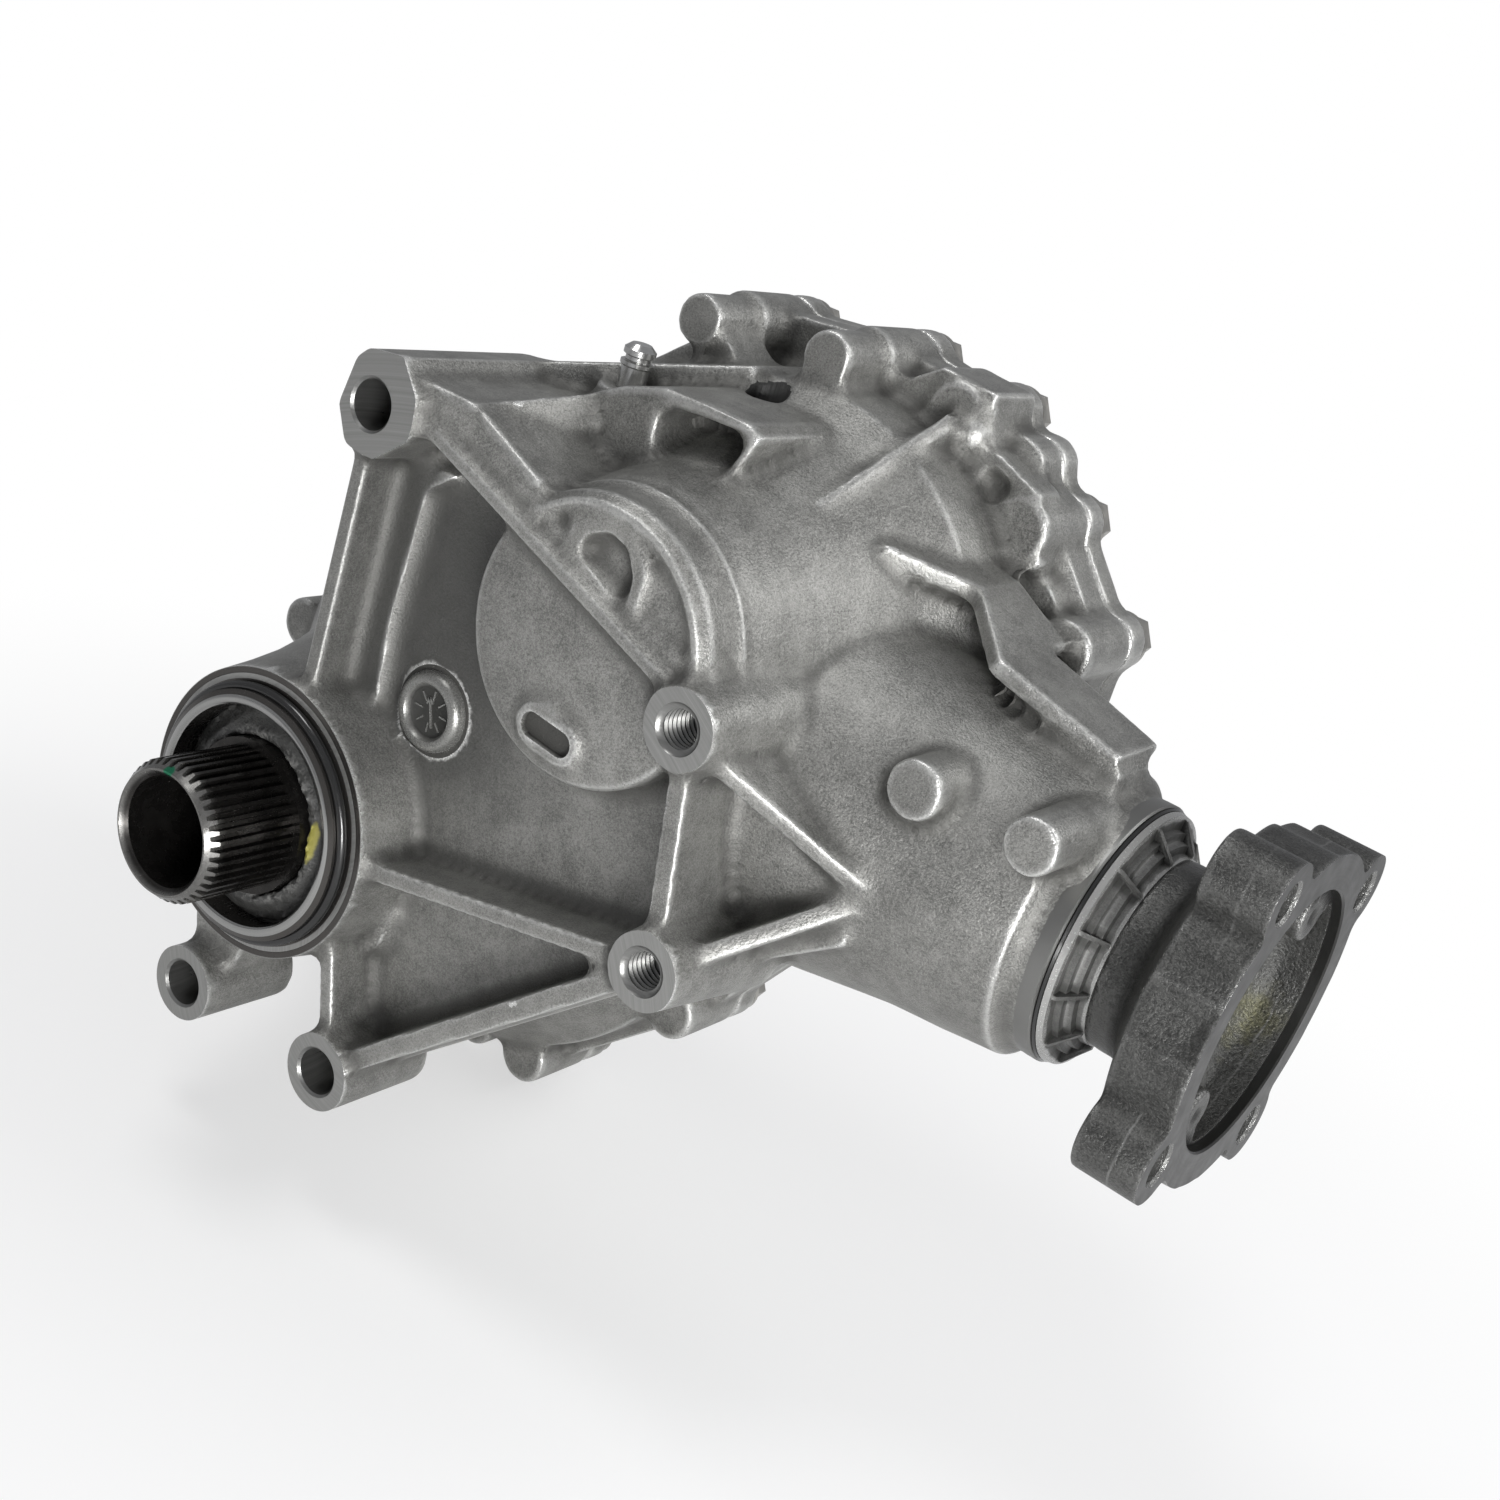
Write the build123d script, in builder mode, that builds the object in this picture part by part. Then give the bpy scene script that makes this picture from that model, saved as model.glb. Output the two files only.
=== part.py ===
from build123d import *
from math import acos, asin, atan2, cos, degrees, hypot, pi, radians, sin, sqrt, tan
import os

# Power take-off transfer case, in millimetres.
# Origin: input axis on the mounting plane. +Y runs into the case along the input
# axis, +X out through the output flange, +Z up.

# Shaft lines
transfer_x = 89.0
transfer_z = 92.6
output_y = 75.5
output_z = 63.5

# Planes along the input axis
floor_front = 20.0
wall = 6.0
joint_y = 130.0
flange_thickness = 13.0
cover_flange = 10.0
cover_inner = 134.5

# Input side
pilot_radius = 36.0
pilot_height = 5.5
pilot_bore = 31.9
o_ring_section = 3.0
boss_radius = 42.0
seat_inner = 38.4
seal_depth = 3.0
seal_width = 9.0
shaft_end = -33.3
spline_teeth = 42
spline_tip = 20.2
spline_root = 18.7
shaft_bore = 15.5
shaft_rim = 17.8
shaft_radius = 22.5

# Gear train
input_teeth = 57
transfer_teeth = 32
gear_front = 109.0
gear_width = 22.0
helix_angle = 18.0
pressure_angle = 20.0
backlash = 0.35
wheel_teeth = 33
pinion_teeth = 15
wheel_inner = 40.0
wheel_outer = 56.0
wheel_back = 107.5
pinion_helix = 15.0
hypoid_backlash = 1.8
pinion_addendum = 0.07
wheel_addendum = 0.012
root_clearance = 0.4
wheel_drop = 2.0

# Bearings: outer radius, bore radius and width of each
input_bearing = (36.0, 22.5, 15.0)
transfer_bearing = (32.0, 16.0, 16.0)
head_bearing = (33.0, 16.0, 17.0)
tail_bearing = (29.0, 14.0, 15.0)
input_bearing_front = 28.0
transfer_bearing_front = 22.5
head_bearing_start = 148.0
tail_bearing_start = 186.0

# Housing forms
gear_chamber = 88.5
ring_chamber = 61.0
pocket_radius = 38.0
pocket_front = 7.0
neck_end = 220.0
neck_radius = 42.0
collar_radius = 36.3
collar_length = 8.5
bolt_ring_input = 99.0
bolt_ring_transfer = 73.5
bolt_lobe = 9.0
cover_bolt = 8.0

# Mounting bosses: x, z, outer radius and hole radius
mount_clearance = 6.75
mount_thread = 5.1
boss_a = (7.6, 124.4)
boss_g = (44.7, -60.6)
boss_h = (-13.5, -64.3)
boss_e = (126.8, 87.4)
boss_f = (137.5, 25.7)
boss_outer = 10.3
small_boss_outer = 11.5
thread_depth = 22.0
web_front = 3.0
web_width = 5.0

# Output side
output_face = 264.0
flange_pcd = 96.0
flange_hole = 5.25
flange_lobe = 10.5
flange_turn = 35.0
flange_bore = 35.9
flange_bore_depth = 3.0
barrel_radius = 26.3
slinger_radius = 35.5
slinger_start = 221.4
slinger_width = 8.0
slinger_ribs = 12
hub_radius = 20.0
pinion_shaft_radius = 14.0

# Fits
running = 0.05
seat = 0.02
gap = 0.4

input_face = Plane(origin=(0, 0, 0), x_dir=(1, 0, 0), z_dir=(0, 1, 0))
input_section = Plane(origin=(0, 0, 0), x_dir=(1, 0, 0), z_dir=(0, 0, 1))
input_axis = Axis((0, 0, 0), (0, 1, 0))
transfer_face = Plane(origin=(transfer_x, 0, transfer_z), x_dir=(1, 0, 0), z_dir=(0, 1, 0))
transfer_section = Plane(origin=(transfer_x, 0, transfer_z), x_dir=(1, 0, 0), z_dir=(0, 0, 1))
transfer_axis = Axis((transfer_x, 0, transfer_z), (0, 1, 0))
output_plane = Plane(origin=(0, output_y, output_z), x_dir=(0, 1, 0), z_dir=(1, 0, 0))
output_section = Plane(origin=(0, output_y, output_z), x_dir=(0, -1, 0), z_dir=(0, 0, 1))
output_axis = Axis((0, output_y, output_z), (1, 0, 0))

input_line = (input_face, input_section, input_axis)
transfer_line = (transfer_face, transfer_section, transfer_axis)
output_line = (output_plane, output_section, output_axis)

centre_distance = hypot(transfer_x, transfer_z)
transverse_module = 2 * centre_distance / (input_teeth + transfer_teeth)
offset = transfer_z - output_z

os.makedirs("parts", exist_ok=True)


def save(piece, name):
    piece.part.label = name
    export_step(piece.part, f"parts/{name}.step")


def at_depth(y):
    # front-facing sketch plane, y behind the mounting plane
    return Plane.XZ.offset(-y)


def turn(line, section, mode=Mode.ADD):
    # a closed section of (radius, along) points, revolved about a shaft line
    with BuildSketch(line[1]) as profile:
        with BuildLine():
            Polyline(*section, close=True)
        make_face()
    revolve(profile.sketch, axis=line[2], mode=mode)


def ring(line, start, length, outer, inner=0, mode=Mode.ADD):
    # a tube, or a disc when it has no inner radius, square to a shaft line
    with BuildSketch(line[0].offset(start)) as profile:
        Circle(outer)
        if inner:
            Circle(inner, mode=Mode.SUBTRACT)
    extrude(profile.sketch, amount=length, mode=mode)


def block(y, thickness, points, mode=Mode.ADD):
    # a plate of (x, z) points whose back is at depth y, its thickness towards the front
    with BuildSketch(at_depth(y)) as profile:
        with BuildLine():
            Polyline(*points, close=True)
        make_face()
    extrude(profile.sketch, amount=thickness, mode=mode)


def post(y, thickness, places, radius, mode=Mode.ADD, taper=0):
    # round posts at (x, z) places whose back is at depth y, a taper narrows them to the front
    with BuildSketch(at_depth(y)) as profile:
        with Locations(*places):
            Circle(radius)
    extrude(profile.sketch, amount=thickness, mode=mode, taper=taper)


# Gear teeth

base_lean = radians(pressure_angle)


def flank_half(radius, pitch, teeth, clearance):
    # half angle of an involute tooth at a radius, in radians
    base = pitch * cos(base_lean)
    lean = acos(min(1, base / radius))
    at_pitch = pi / (2 * teeth) - clearance / (2 * pitch)
    return at_pitch + tan(base_lean) - base_lean - tan(lean) + lean


def tooth_outline(teeth, tip, root, pitch, clearance, phase):
    # three points on each flank, the first tooth centred at phase degrees
    points = []
    for tooth in range(teeth):
        middle = radians(phase) + 2 * pi * tooth / teeth
        for side, levels in ((-1, (root, pitch, tip)), (1, (tip, pitch, root))):
            for radius in levels:
                angle = middle + side * flank_half(radius, pitch, teeth, clearance)
                points.append((radius * cos(angle), radius * sin(angle)))
    return points


def toothed_face(plane, teeth, tip, root, pitch, clearance, phase):
    with BuildSketch(plane) as profile:
        with BuildLine():
            Polyline(*tooth_outline(teeth, tip, root, pitch, clearance, phase), close=True)
        make_face()
    return profile.sketch


def helical_blank(line, teeth, pitch, phase, hand):
    # a ruled loft between the two turned end sections of the gear
    tip = pitch + 0.9 * transverse_module
    root = pitch - 1.15 * transverse_module
    turned = hand * degrees(gear_width * tan(radians(helix_angle)) / pitch)
    front = toothed_face(line[0].offset(gear_front), teeth, tip, root, pitch, backlash, phase)
    back_plane = line[0].offset(gear_front + gear_width)
    back = toothed_face(back_plane, teeth, tip, root, pitch, backlash, phase + turned)
    loft([front, back], ruled=True)


input_pitch = transverse_module * input_teeth / 2
transfer_pitch = transverse_module * transfer_teeth / 2
mesh_angle = degrees(atan2(-transfer_z, transfer_x))

# Hypoid pair. A wheel radius meets the pinion at one place along the output line, and
# the pinion is turned there so that its gap faces the wheel's tooth.
wheel_mean = (wheel_inner + wheel_outer) / 2
hypoid_ratio = wheel_teeth / pinion_teeth


def contact_angle(radius):
    return asin(offset / radius)


wheel_lean = radians(pinion_helix) - contact_angle(wheel_mean)


def tooth_angle(radius):
    # a straight tooth leaning by wheel_lean at the mean radius
    return wheel_lean - asin(wheel_mean * sin(wheel_lean) / radius)


def contact_x(radius):
    return transfer_x + sqrt(radius**2 - offset**2)


def pinion_pitch(radius):
    wheel_spiral = asin(wheel_mean * sin(wheel_lean) / radius)
    pinion_spiral = contact_angle(radius) + wheel_spiral
    return radius * cos(wheel_spiral) / cos(pinion_spiral) / hypoid_ratio


def pinion_turn(radius):
    lag = contact_angle(radius) - tooth_angle(radius) - contact_angle(wheel_mean)
    return degrees(hypoid_ratio * lag) - 0.7


def wheel_pitch_y(radius):
    return output_y + pinion_pitch(radius) + wheel_drop




def pinion_face(radius):
    # a section of the pinion where it meets this wheel radius
    pitch = pinion_pitch(radius)
    tip = pitch * (1 + pinion_addendum)
    root = pitch - wheel_addendum * radius - root_clearance
    phase = pinion_turn(radius) + 180 / pinion_teeth
    plane = output_plane.offset(contact_x(radius))
    return toothed_face(plane, pinion_teeth, tip, root, pitch, hypoid_backlash / 2, phase)


def wheel_root(radius):
    return wheel_pitch_y(radius) + pinion_addendum * pinion_pitch(radius) + root_clearance


def wheel_tooth_face(radius):
    # a section of the first wheel tooth, square to its centre line, about the wheel axis
    spiral = asin(wheel_mean * sin(wheel_lean) / radius)
    half = pi * radius / wheel_teeth / 2 * cos(spiral) - hypoid_backlash / 4
    tip = wheel_pitch_y(radius) - wheel_addendum * radius
    root = wheel_root(radius) + 0.4
    half_tip = half - wheel_addendum * radius * tan(base_lean)
    half_root = half + (root - wheel_pitch_y(radius)) * tan(base_lean)
    turned = tooth_angle(radius)
    across = (-sin(wheel_lean), cos(wheel_lean), 0)
    along = (cos(wheel_lean), sin(wheel_lean), 0)
    place = (radius * cos(turned), radius * sin(turned), 0)
    with BuildSketch(Plane(origin=place, x_dir=across, z_dir=along)) as profile:
        with BuildLine():
            Polyline((-half_tip, tip), (half_tip, tip), (half_root, root), (-half_root, root), close=True)
        make_face()
    return profile.sketch


# Main case

breather_x = 42.0
breather_y = 60.0
bell = [(boss_radius, 0), (43.5, 12), (46, 26), (50, 40), (57, 58), (68, 75), (82, 90),
        (gear_chamber + wall, 104), (gear_chamber + wall, joint_y)]
horn = [(pocket_radius - 1, pocket_front), (pocket_radius, pocket_front + 1.5), (pocket_radius, 19.5),
        (39.3, 20), (39.3, 21.5), (40.5, 23), (44, 40), (51.5, 58), (57, 72), (66, 84),
        (ring_chamber + wall, 94), (ring_chamber + wall, joint_y)]
neck = [(50, 100), (50, 138), (48.5, 150), (46.5, 161), (43.5, 178), (neck_radius, 194),
        (neck_radius - 2, neck_end - collar_length - 1), (collar_radius, neck_end - collar_length),
        (collar_radius, neck_end)]
seat_end = 46.0
bell_hollow = [(38, seat_end), (50, 58), (61, 75), (75, 90), (gear_chamber, 104), (gear_chamber, joint_y)]
horn_hollow = [(34, 46), (37, 50), (43.5, 60), (49, 72), (59, 84), (ring_chamber, 94),
               (ring_chamber, joint_y)]
skin_x = 3.0
front_outline = [(skin_x, 128), (36, 136), (64, 124), (89, 110), (128, 96), (141, 25), (134, 16),
                 (50, -62), (40, -62), (skin_x, -30)]
body_outline = [(skin_x, 98), (20, 110), (27, 136), (38, 136), (64, 124), (89, 110), (128, 96), (141, 25),
                (134, 16), (62, -46), (34, -40), (skin_x, -30)]
body_hollow = [(skin_x + wall, 94), (26, 106), (33, 129), (37, 129), (60, 118), (86, 104), (122, 92),
               (134, 29), (128, 20), (60, -38), (35, -33), (skin_x + wall, -22)]
boss_a_face = [(-3.5, 121), (-0.7, 134.5), (3, 138.2), (14.9, 140), (22.4, 131), (22.8, 120),
               (12.2, 111), (1.5, 112)]
rib_band = [(16, 124), (20, 136), (36.3, 135.6), (62.8, 125), (65.5, 119), (95.4, 107), (119.4, 101),
            (124, 90), (117, 92)]
shelf = [(45, 130), (45, 142), (54, 147), (67, 151.3), (81, 152), (95, 152), (99.5, 149.5), (97.5, 144),
         (90, 126)]
shelf_window = [(68, 130), (67.6, 145), (71.5, 147.6), (92, 149), (96, 147), (94.5, 143.4), (88, 128)]
fairing = [(118, 100), (150, 84), (172, 66), (172, 44), (140, 20), (118, 20)]

bolt_angles_input = (-27, -66, -105, -144, 177, 138)
bolt_angles_transfer = (125, 94, 69, 41, 16, -12)
bolt_steps_transfer = (11, 0.5, 1, 0, 9, 8)


def ring_place(line_x, line_z, radius, angle):
    return (line_x + radius * cos(radians(angle)), line_z + radius * sin(radians(angle)))


bolt_places = [ring_place(0, 0, bolt_ring_input, a) for a in bolt_angles_input]
bolt_places += [ring_place(transfer_x, transfer_z, bolt_ring_transfer + step, a)
                for a, step in zip(bolt_angles_transfer, bolt_steps_transfer)]
long_lobes = bolt_places[6:8]
dowel_places = [ring_place(0, 0, bolt_ring_input, -85.5),
                ring_place(transfer_x, transfer_z, bolt_ring_transfer, 55)]
dowel_radius = 4.0
flange_radii = (bolt_ring_input - 2.5, bolt_ring_transfer - 5)
chamber_radii = (gear_chamber, ring_chamber)


def joint_plate(y, thickness, radii, lobes=0, mode=Mode.ADD):
    # hull of a circle on each gear axis, with or without the bolt lobes
    with BuildSketch(at_depth(y)) as profile:
        Circle(radii[0])
        with Locations((transfer_x, transfer_z)):
            Circle(radii[1])
        if lobes:
            with Locations(*bolt_places):
                Circle(lobes - 4)
        make_hull()
        if lobes:
            with Locations(*bolt_places, *dowel_places):
                Circle(lobes)
    extrude(profile.sketch, amount=thickness, mode=mode)


def rib(start, end, front_start, front_end, back, width):
    # a rib between two (x, z) places whose front edge runs from one depth to another
    run = hypot(end[0] - start[0], end[1] - start[1])
    lean_x = (end[0] - start[0]) / run
    lean_z = (end[1] - start[1]) / run
    plane = Plane(origin=(start[0], 0, start[1]), x_dir=(lean_x, 0, lean_z), z_dir=(-lean_z, 0, lean_x))
    with BuildSketch(plane) as profile:
        with BuildLine():
            Polyline((0, front_start), (run, front_end), (run, back), (0, back), close=True)
        make_face()
    extrude(profile.sketch, amount=width / 2, both=True)


with BuildPart() as main_case:
    # shelf over the body, open underneath
    block(88, 48, shelf)
    block(84, 46, shelf_window, Mode.SUBTRACT)
    turn(input_line, [(0, 0)] + bell + [(0, joint_y)])
    turn(transfer_line, [(0, pocket_front)] + horn + [(0, joint_y)])
    turn(output_line, [(0, 100)] + neck + [(0, neck_end)])
    block(30, 30 - floor_front, front_outline)
    block(104, 104 - floor_front, body_outline)
    block(90, 58, fairing)
    joint_plate(joint_y, flange_thickness, flange_radii, bolt_lobe)
    post(joint_y, 26, bolt_places, bolt_lobe)
    post(joint_y, 46, long_lobes, 7.4)
    # deck between the upper boss, the shelf and the joint
    rib((8, 134.5), (68, 155), 48, 78, 117, 6)
    rib((9, 131), (37, 131), 3, 5, 100, 9)
    rib((37, 131), (48, 138), 5, 40, 100, 9)
    # mounting bosses
    block(60, 60, boss_a_face)
    post(42, 42, [boss_e, boss_f], boss_outer + 3.8, taper=5)
    post(60, 34, [boss_f], boss_outer)
    post(34, 34, [boss_g, boss_h], small_boss_outer)
    rib(boss_h, (-6, -38), 8, 8, 32, 15)
    rib(boss_h, (-22, -34), 8, 8, 28, 8)
    # frame of ribs on the front
    rib((5.5, 112), (5.5, 36), web_front, web_front, 24, web_width)
    block(24, 18.5, rib_band)
    rib((18, 127), (119, 93.7), web_front, web_front, 24, 4)
    rib(boss_e, boss_f, web_front, web_front, 24, 6)
    rib((34, 1), boss_f, web_front, web_front, 24, web_width)
    rib((33, -20), boss_g, web_front, web_front, 24, web_width)
    rib(boss_g, boss_f, web_front, web_front, 24, 6)
    rib((130, 84), (173, 59.5), web_front, 31, 50, web_width)
    rib((140, 27), (172, 57), web_front, 32, 50, web_width)
    # ears and pedestals on the shelf
    rib((43, 158), (62, 146), 86, 86, 104, 10)
    block(117, 33, [(77, 145), (77, 166), (91, 166), (91, 145)])
    block(joint_y, 24, [(87, 158), (107, 172.5), (124.8, 171.2), (126.3, 165), (104, 151)])
    post(119, 14, [(121, 157.5)], 6.2)
    # fin, ridges and pads on the flank
    rib((113, 135), (118, 160), 54, 98, 118, 4)
    rib((124, 143), (130, 156), 105, 105, 118, 3.5)
    rib((130, 156), (146, 150), 105, 105, 118, 3.5)
    rib((146, 150), (153, 133), 105, 105, 118, 3.5)
    rib((153, 133), (136, 134), 105, 102, 118, 3.5)
    rib((129, 130), (152, 127), 64, 78, 100, 5)
    rib((152, 127), (171, 117), 78, 62, 100, 5)
    rib((171, 117), (208, 107), 62, 66, 90, 5)
    post(60, 30, [(176, 90.5)], 7.7)
    post(64, 36, [(209.5, 93)], 7.3)
    post(84, 18, [(206, 103)], 4.5)
    # rims on the floor and disc
    post(22, 5, [(37, 47)], 9.7)
    with BuildSketch(at_depth(pocket_front + 1)) as disc_rim:
        with Locations((transfer_x, transfer_z)):
            Circle(pocket_radius - 1.8)
            Circle(pocket_radius - 4.5, mode=Mode.SUBTRACT)
        with BuildLine():
            Polyline((10, 129), (140, 87), (140, 20), (10, 20), close=True)
        make_face(mode=Mode.SUBTRACT)
    extrude(disc_rim.sketch, amount=3.5)
    block(pocket_front + 1, 2.8, [(75, 113), (77, 121), (86, 125.5), (96.5, 124), (102, 117), (102, 106)])
    post(pocket_front + 1, 2.6, [(84, 68), (86.5, 66.2), (89, 64.4)], 5.8)
    # breather boss
    with BuildSketch(Plane.XY.offset(128)) as breather_seat:
        with Locations((breather_x, breather_y)):
            Circle(9)
    extrude(breather_seat.sketch, amount=14)
    # pilot
    ring(input_line, -pilot_height, pilot_height + 4, pilot_radius)
    ring(output_line, neck_end, 12, 60, mode=Mode.SUBTRACT)
    # hollows of the chambers, body and neck
    turn(input_line, [(0, seat_end)] + bell_hollow + [(0, joint_y)], Mode.SUBTRACT)
    turn(transfer_line, [(0, 46)] + horn_hollow + [(0, joint_y)], Mode.SUBTRACT)
    ring(output_line, 100, head_bearing_start - 2 - 100, 42, mode=Mode.SUBTRACT)
    block(100, 100 - floor_front - wall, body_hollow, Mode.SUBTRACT)
    ring(input_line, 4, seat_end - 4, boss_radius)
    ring(transfer_line, pocket_front + 1, 38, pocket_radius)
    # input bores
    turn(input_line, [(0, -pilot_height), (pilot_bore, -pilot_height), (pilot_bore, 14), (29.5, 14),
                      (29.5, input_bearing_front), (input_bearing[0] + seat, input_bearing_front),
                      (input_bearing[0] + seat, seat_end), (0, seat_end)], Mode.SUBTRACT)
    turn(input_line, [(33.7, -6), (33.7, -pilot_height), (pilot_radius, -pilot_height + 0.7),
                      (pilot_radius, -3.4), (pilot_radius - 1, -3.4), (pilot_radius - 1, -0.2),
                      (pilot_radius, -0.2), (pilot_radius, 0.8), (seat_inner, 0.8), (seat_inner, 0),
                      (50, 0), (50, -6)], Mode.SUBTRACT)
    # transfer bearing pocket
    ring(transfer_line, transfer_bearing_front, 24, transfer_bearing[0] + seat, mode=Mode.SUBTRACT)
    ring(transfer_line, pocket_front + wall, 12, 20, mode=Mode.SUBTRACT)
    # neck bores
    turn(output_line, [(0, 140), (head_bearing[0] + seat, 140), (head_bearing[0] + seat, 165), (27, 165),
                       (27, tail_bearing_start), (tail_bearing[0] + seat, tail_bearing_start),
                       (tail_bearing[0] + seat, 203), (31 + seat, 203), (31 + seat, neck_end),
                       (0, neck_end)], Mode.SUBTRACT)
    # mounting holes
    post(62, 72, [boss_a, boss_g, boss_h], mount_clearance, Mode.SUBTRACT)
    post(thread_depth, thread_depth + 5, [boss_e, boss_f], mount_thread, Mode.SUBTRACT)
    post(1.5, 5, [boss_e, boss_f], mount_thread + 0.9, Mode.SUBTRACT)
    post(joint_y, 21, bolt_places, cover_bolt / 2 + seat, Mode.SUBTRACT)
    post(joint_y, 7, dowel_places, dowel_radius + seat, Mode.SUBTRACT)
    # window and hole of the shelf, dial and dimples
    with BuildSketch(Plane.XY.offset(146.5)) as shelf_hole:
        with Locations((74, 77)):
            Circle(5.6)
    extrude(shelf_hole.sketch, amount=20, mode=Mode.SUBTRACT)
    post(18.5, 5, [(37, 47)], 7.2, Mode.SUBTRACT)
    block(pocket_front + 3, 8, [(80, 113), (81.5, 118.5), (88, 121.5), (94.5, 120), (98, 114), (98, 105)],
          Mode.SUBTRACT)
    post(pocket_front + 0.6, 6, [(84, 68), (86.5, 66.2), (89, 64.4)], 3.2, Mode.SUBTRACT)
    # breather thread
    with BuildSketch(Plane.XY.offset(120)) as breather_hole:
        with Locations((breather_x, breather_y)):
            Circle(4 + seat)
    extrude(breather_hole.sketch, amount=40, mode=Mode.SUBTRACT)
save(main_case, "main_case")

# Rear cover, behind a bead of sealant

sealant = 0.8
bead = 5.3
cover_front = joint_y + sealant
cover_back = cover_front + cover_flange
cover_boss_back = 163.0
cover_seal_front = 154.0
fill_place = (-62, -22)
drain_place = (-10, -76)
plug_radius = 8.0

with BuildPart() as cover_sealant:
    joint_plate(cover_front, sealant, (gear_chamber + bead, ring_chamber + bead))
    joint_plate(cover_front, sealant, (gear_chamber + 0.5, ring_chamber + 0.5), 0, Mode.SUBTRACT)
save(cover_sealant, "cover_sealant")

with BuildPart() as rear_cover:
    joint_plate(cover_back, cover_flange, flange_radii, bolt_lobe)
    joint_plate(143, 6, chamber_radii)
    ring(input_line, 140, cover_boss_back - 140, 44)
    ring(transfer_line, 140, 17, 42)
    for place in ((0, 82), (-58, 58), (-82, 0), (-58, -58), (58, -58)):
        rib((place[0] * 0.5, place[1] * 0.5), place, cover_back - 2, cover_back - 2, 152, 5)
    rib((30, 31), (59, 61), cover_back - 2, cover_back - 2, 154, 6)
    rib((transfer_x + 28, transfer_z + 28), (transfer_x + 46, transfer_z + 46), 138, 138, 151, 5)
    post(149, 12, [fill_place, drain_place], 13)
    joint_plate(cover_inner + 1.5, 7, (gear_chamber - 1, ring_chamber - 1), 0, Mode.SUBTRACT)
    ring(input_line, cover_inner - 1, 17, input_bearing[0] + seat, mode=Mode.SUBTRACT)
    ring(input_line, cover_inner, 30, 23.6, mode=Mode.SUBTRACT)
    ring(input_line, cover_seal_front, 12, 26 + seat, mode=Mode.SUBTRACT)
    ring(transfer_line, cover_inner - 1, 17.7, transfer_bearing[0] + seat, mode=Mode.SUBTRACT)
    ring(transfer_line, 150, 3.5, 20, mode=Mode.SUBTRACT)
    post(160, 40, [fill_place, drain_place], plug_radius + seat, Mode.SUBTRACT)
    post(160, 40, bolt_places, cover_bolt / 2 + 0.4, Mode.SUBTRACT)
    post(cover_front + 7, 10, dowel_places, dowel_radius + seat, Mode.SUBTRACT)
save(rear_cover, "rear_cover")

bolt_length = 30.0
head_height = 7.5

with BuildPart() as cover_bolts:
    post(cover_back, bolt_length, bolt_places, cover_bolt / 2)
    post(cover_back + 1.8, 1.8, bolt_places, 8.3)
    with BuildSketch(at_depth(cover_back + head_height)) as heads:
        with Locations(*bolt_places):
            RegularPolygon(7.4, 6)
    extrude(heads.sketch, amount=head_height)
save(cover_bolts, "cover_bolts")

with BuildPart() as cover_dowels:
    post(cover_front + 6.5, 13, dowel_places, dowel_radius)
save(cover_dowels, "cover_dowels")

with BuildPart() as fill_plug:
    post(149, 13, [fill_place], plug_radius)
    with BuildSketch(at_depth(156)) as fill_head:
        with Locations(fill_place):
            RegularPolygon(11.5, 6)
    extrude(fill_head.sketch, amount=7)
save(fill_plug, "fill_plug")

with BuildPart() as drain_plug:
    post(149, 13, [drain_place], plug_radius)
    with BuildSketch(at_depth(156)) as drain_head:
        with Locations(drain_place):
            RegularPolygon(11.5, 6)
    extrude(drain_head.sketch, amount=7)
save(drain_plug, "drain_plug")

with BuildPart() as breather:
    with BuildSketch(Plane.XY.offset(134)) as breather_section:
        with Locations((breather_x, breather_y)):
            Circle(4)
    extrude(breather_section.sketch, amount=9)
    with BuildSketch(Plane(origin=(breather_x, breather_y, 0), x_dir=(1, 0, 0), z_dir=(0, -1, 0))) as barb:
        with BuildLine():
            Polyline((0, 142), (4, 142), (4, 148), (4.7, 148.5), (4.7, 149.5), (3.6, 150),
                     (3.6, 151), (4.5, 151.5), (4.5, 153), (2.8, 154.5), (0, 154.5), close=True)
        make_face()
    revolve(barb.sketch, axis=Axis((breather_x, breather_y, 0), (0, 0, 1)))
save(breather, "breather")

with BuildPart() as pilot_o_ring:
    with BuildSketch(input_section) as o_ring_profile:
        with Locations((pilot_radius - 1 + o_ring_section / 2 + 0.02, -1.8)):
            Circle(o_ring_section / 2)
    revolve(o_ring_profile.sketch, axis=input_axis)
save(pilot_o_ring, "pilot_o_ring")

with BuildPart() as input_seal:
    turn(input_line, [(shaft_radius + running, seal_depth + 2), (25, seal_depth),
                      (pilot_bore - seat, seal_depth),
                      (pilot_bore - seat, seal_depth + seal_width), (28, seal_depth + seal_width),
                      (28, seal_depth + 3), (shaft_radius + running, seal_depth + 5)])
save(input_seal, "input_seal")

# Input side

shaft_tail = 152.0
gear_hub = 34.0
collar = 27.0


def spline_outline(teeth, tip, root):
    points = []
    for tooth in range(teeth):
        middle = 2 * pi * tooth / teeth
        for side, radius in ((-0.30, root), (-0.16, tip), (0.16, tip), (0.30, root)):
            angle = middle + side * 2 * pi / teeth
            points.append((radius * cos(angle), radius * sin(angle)))
    return points


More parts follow.
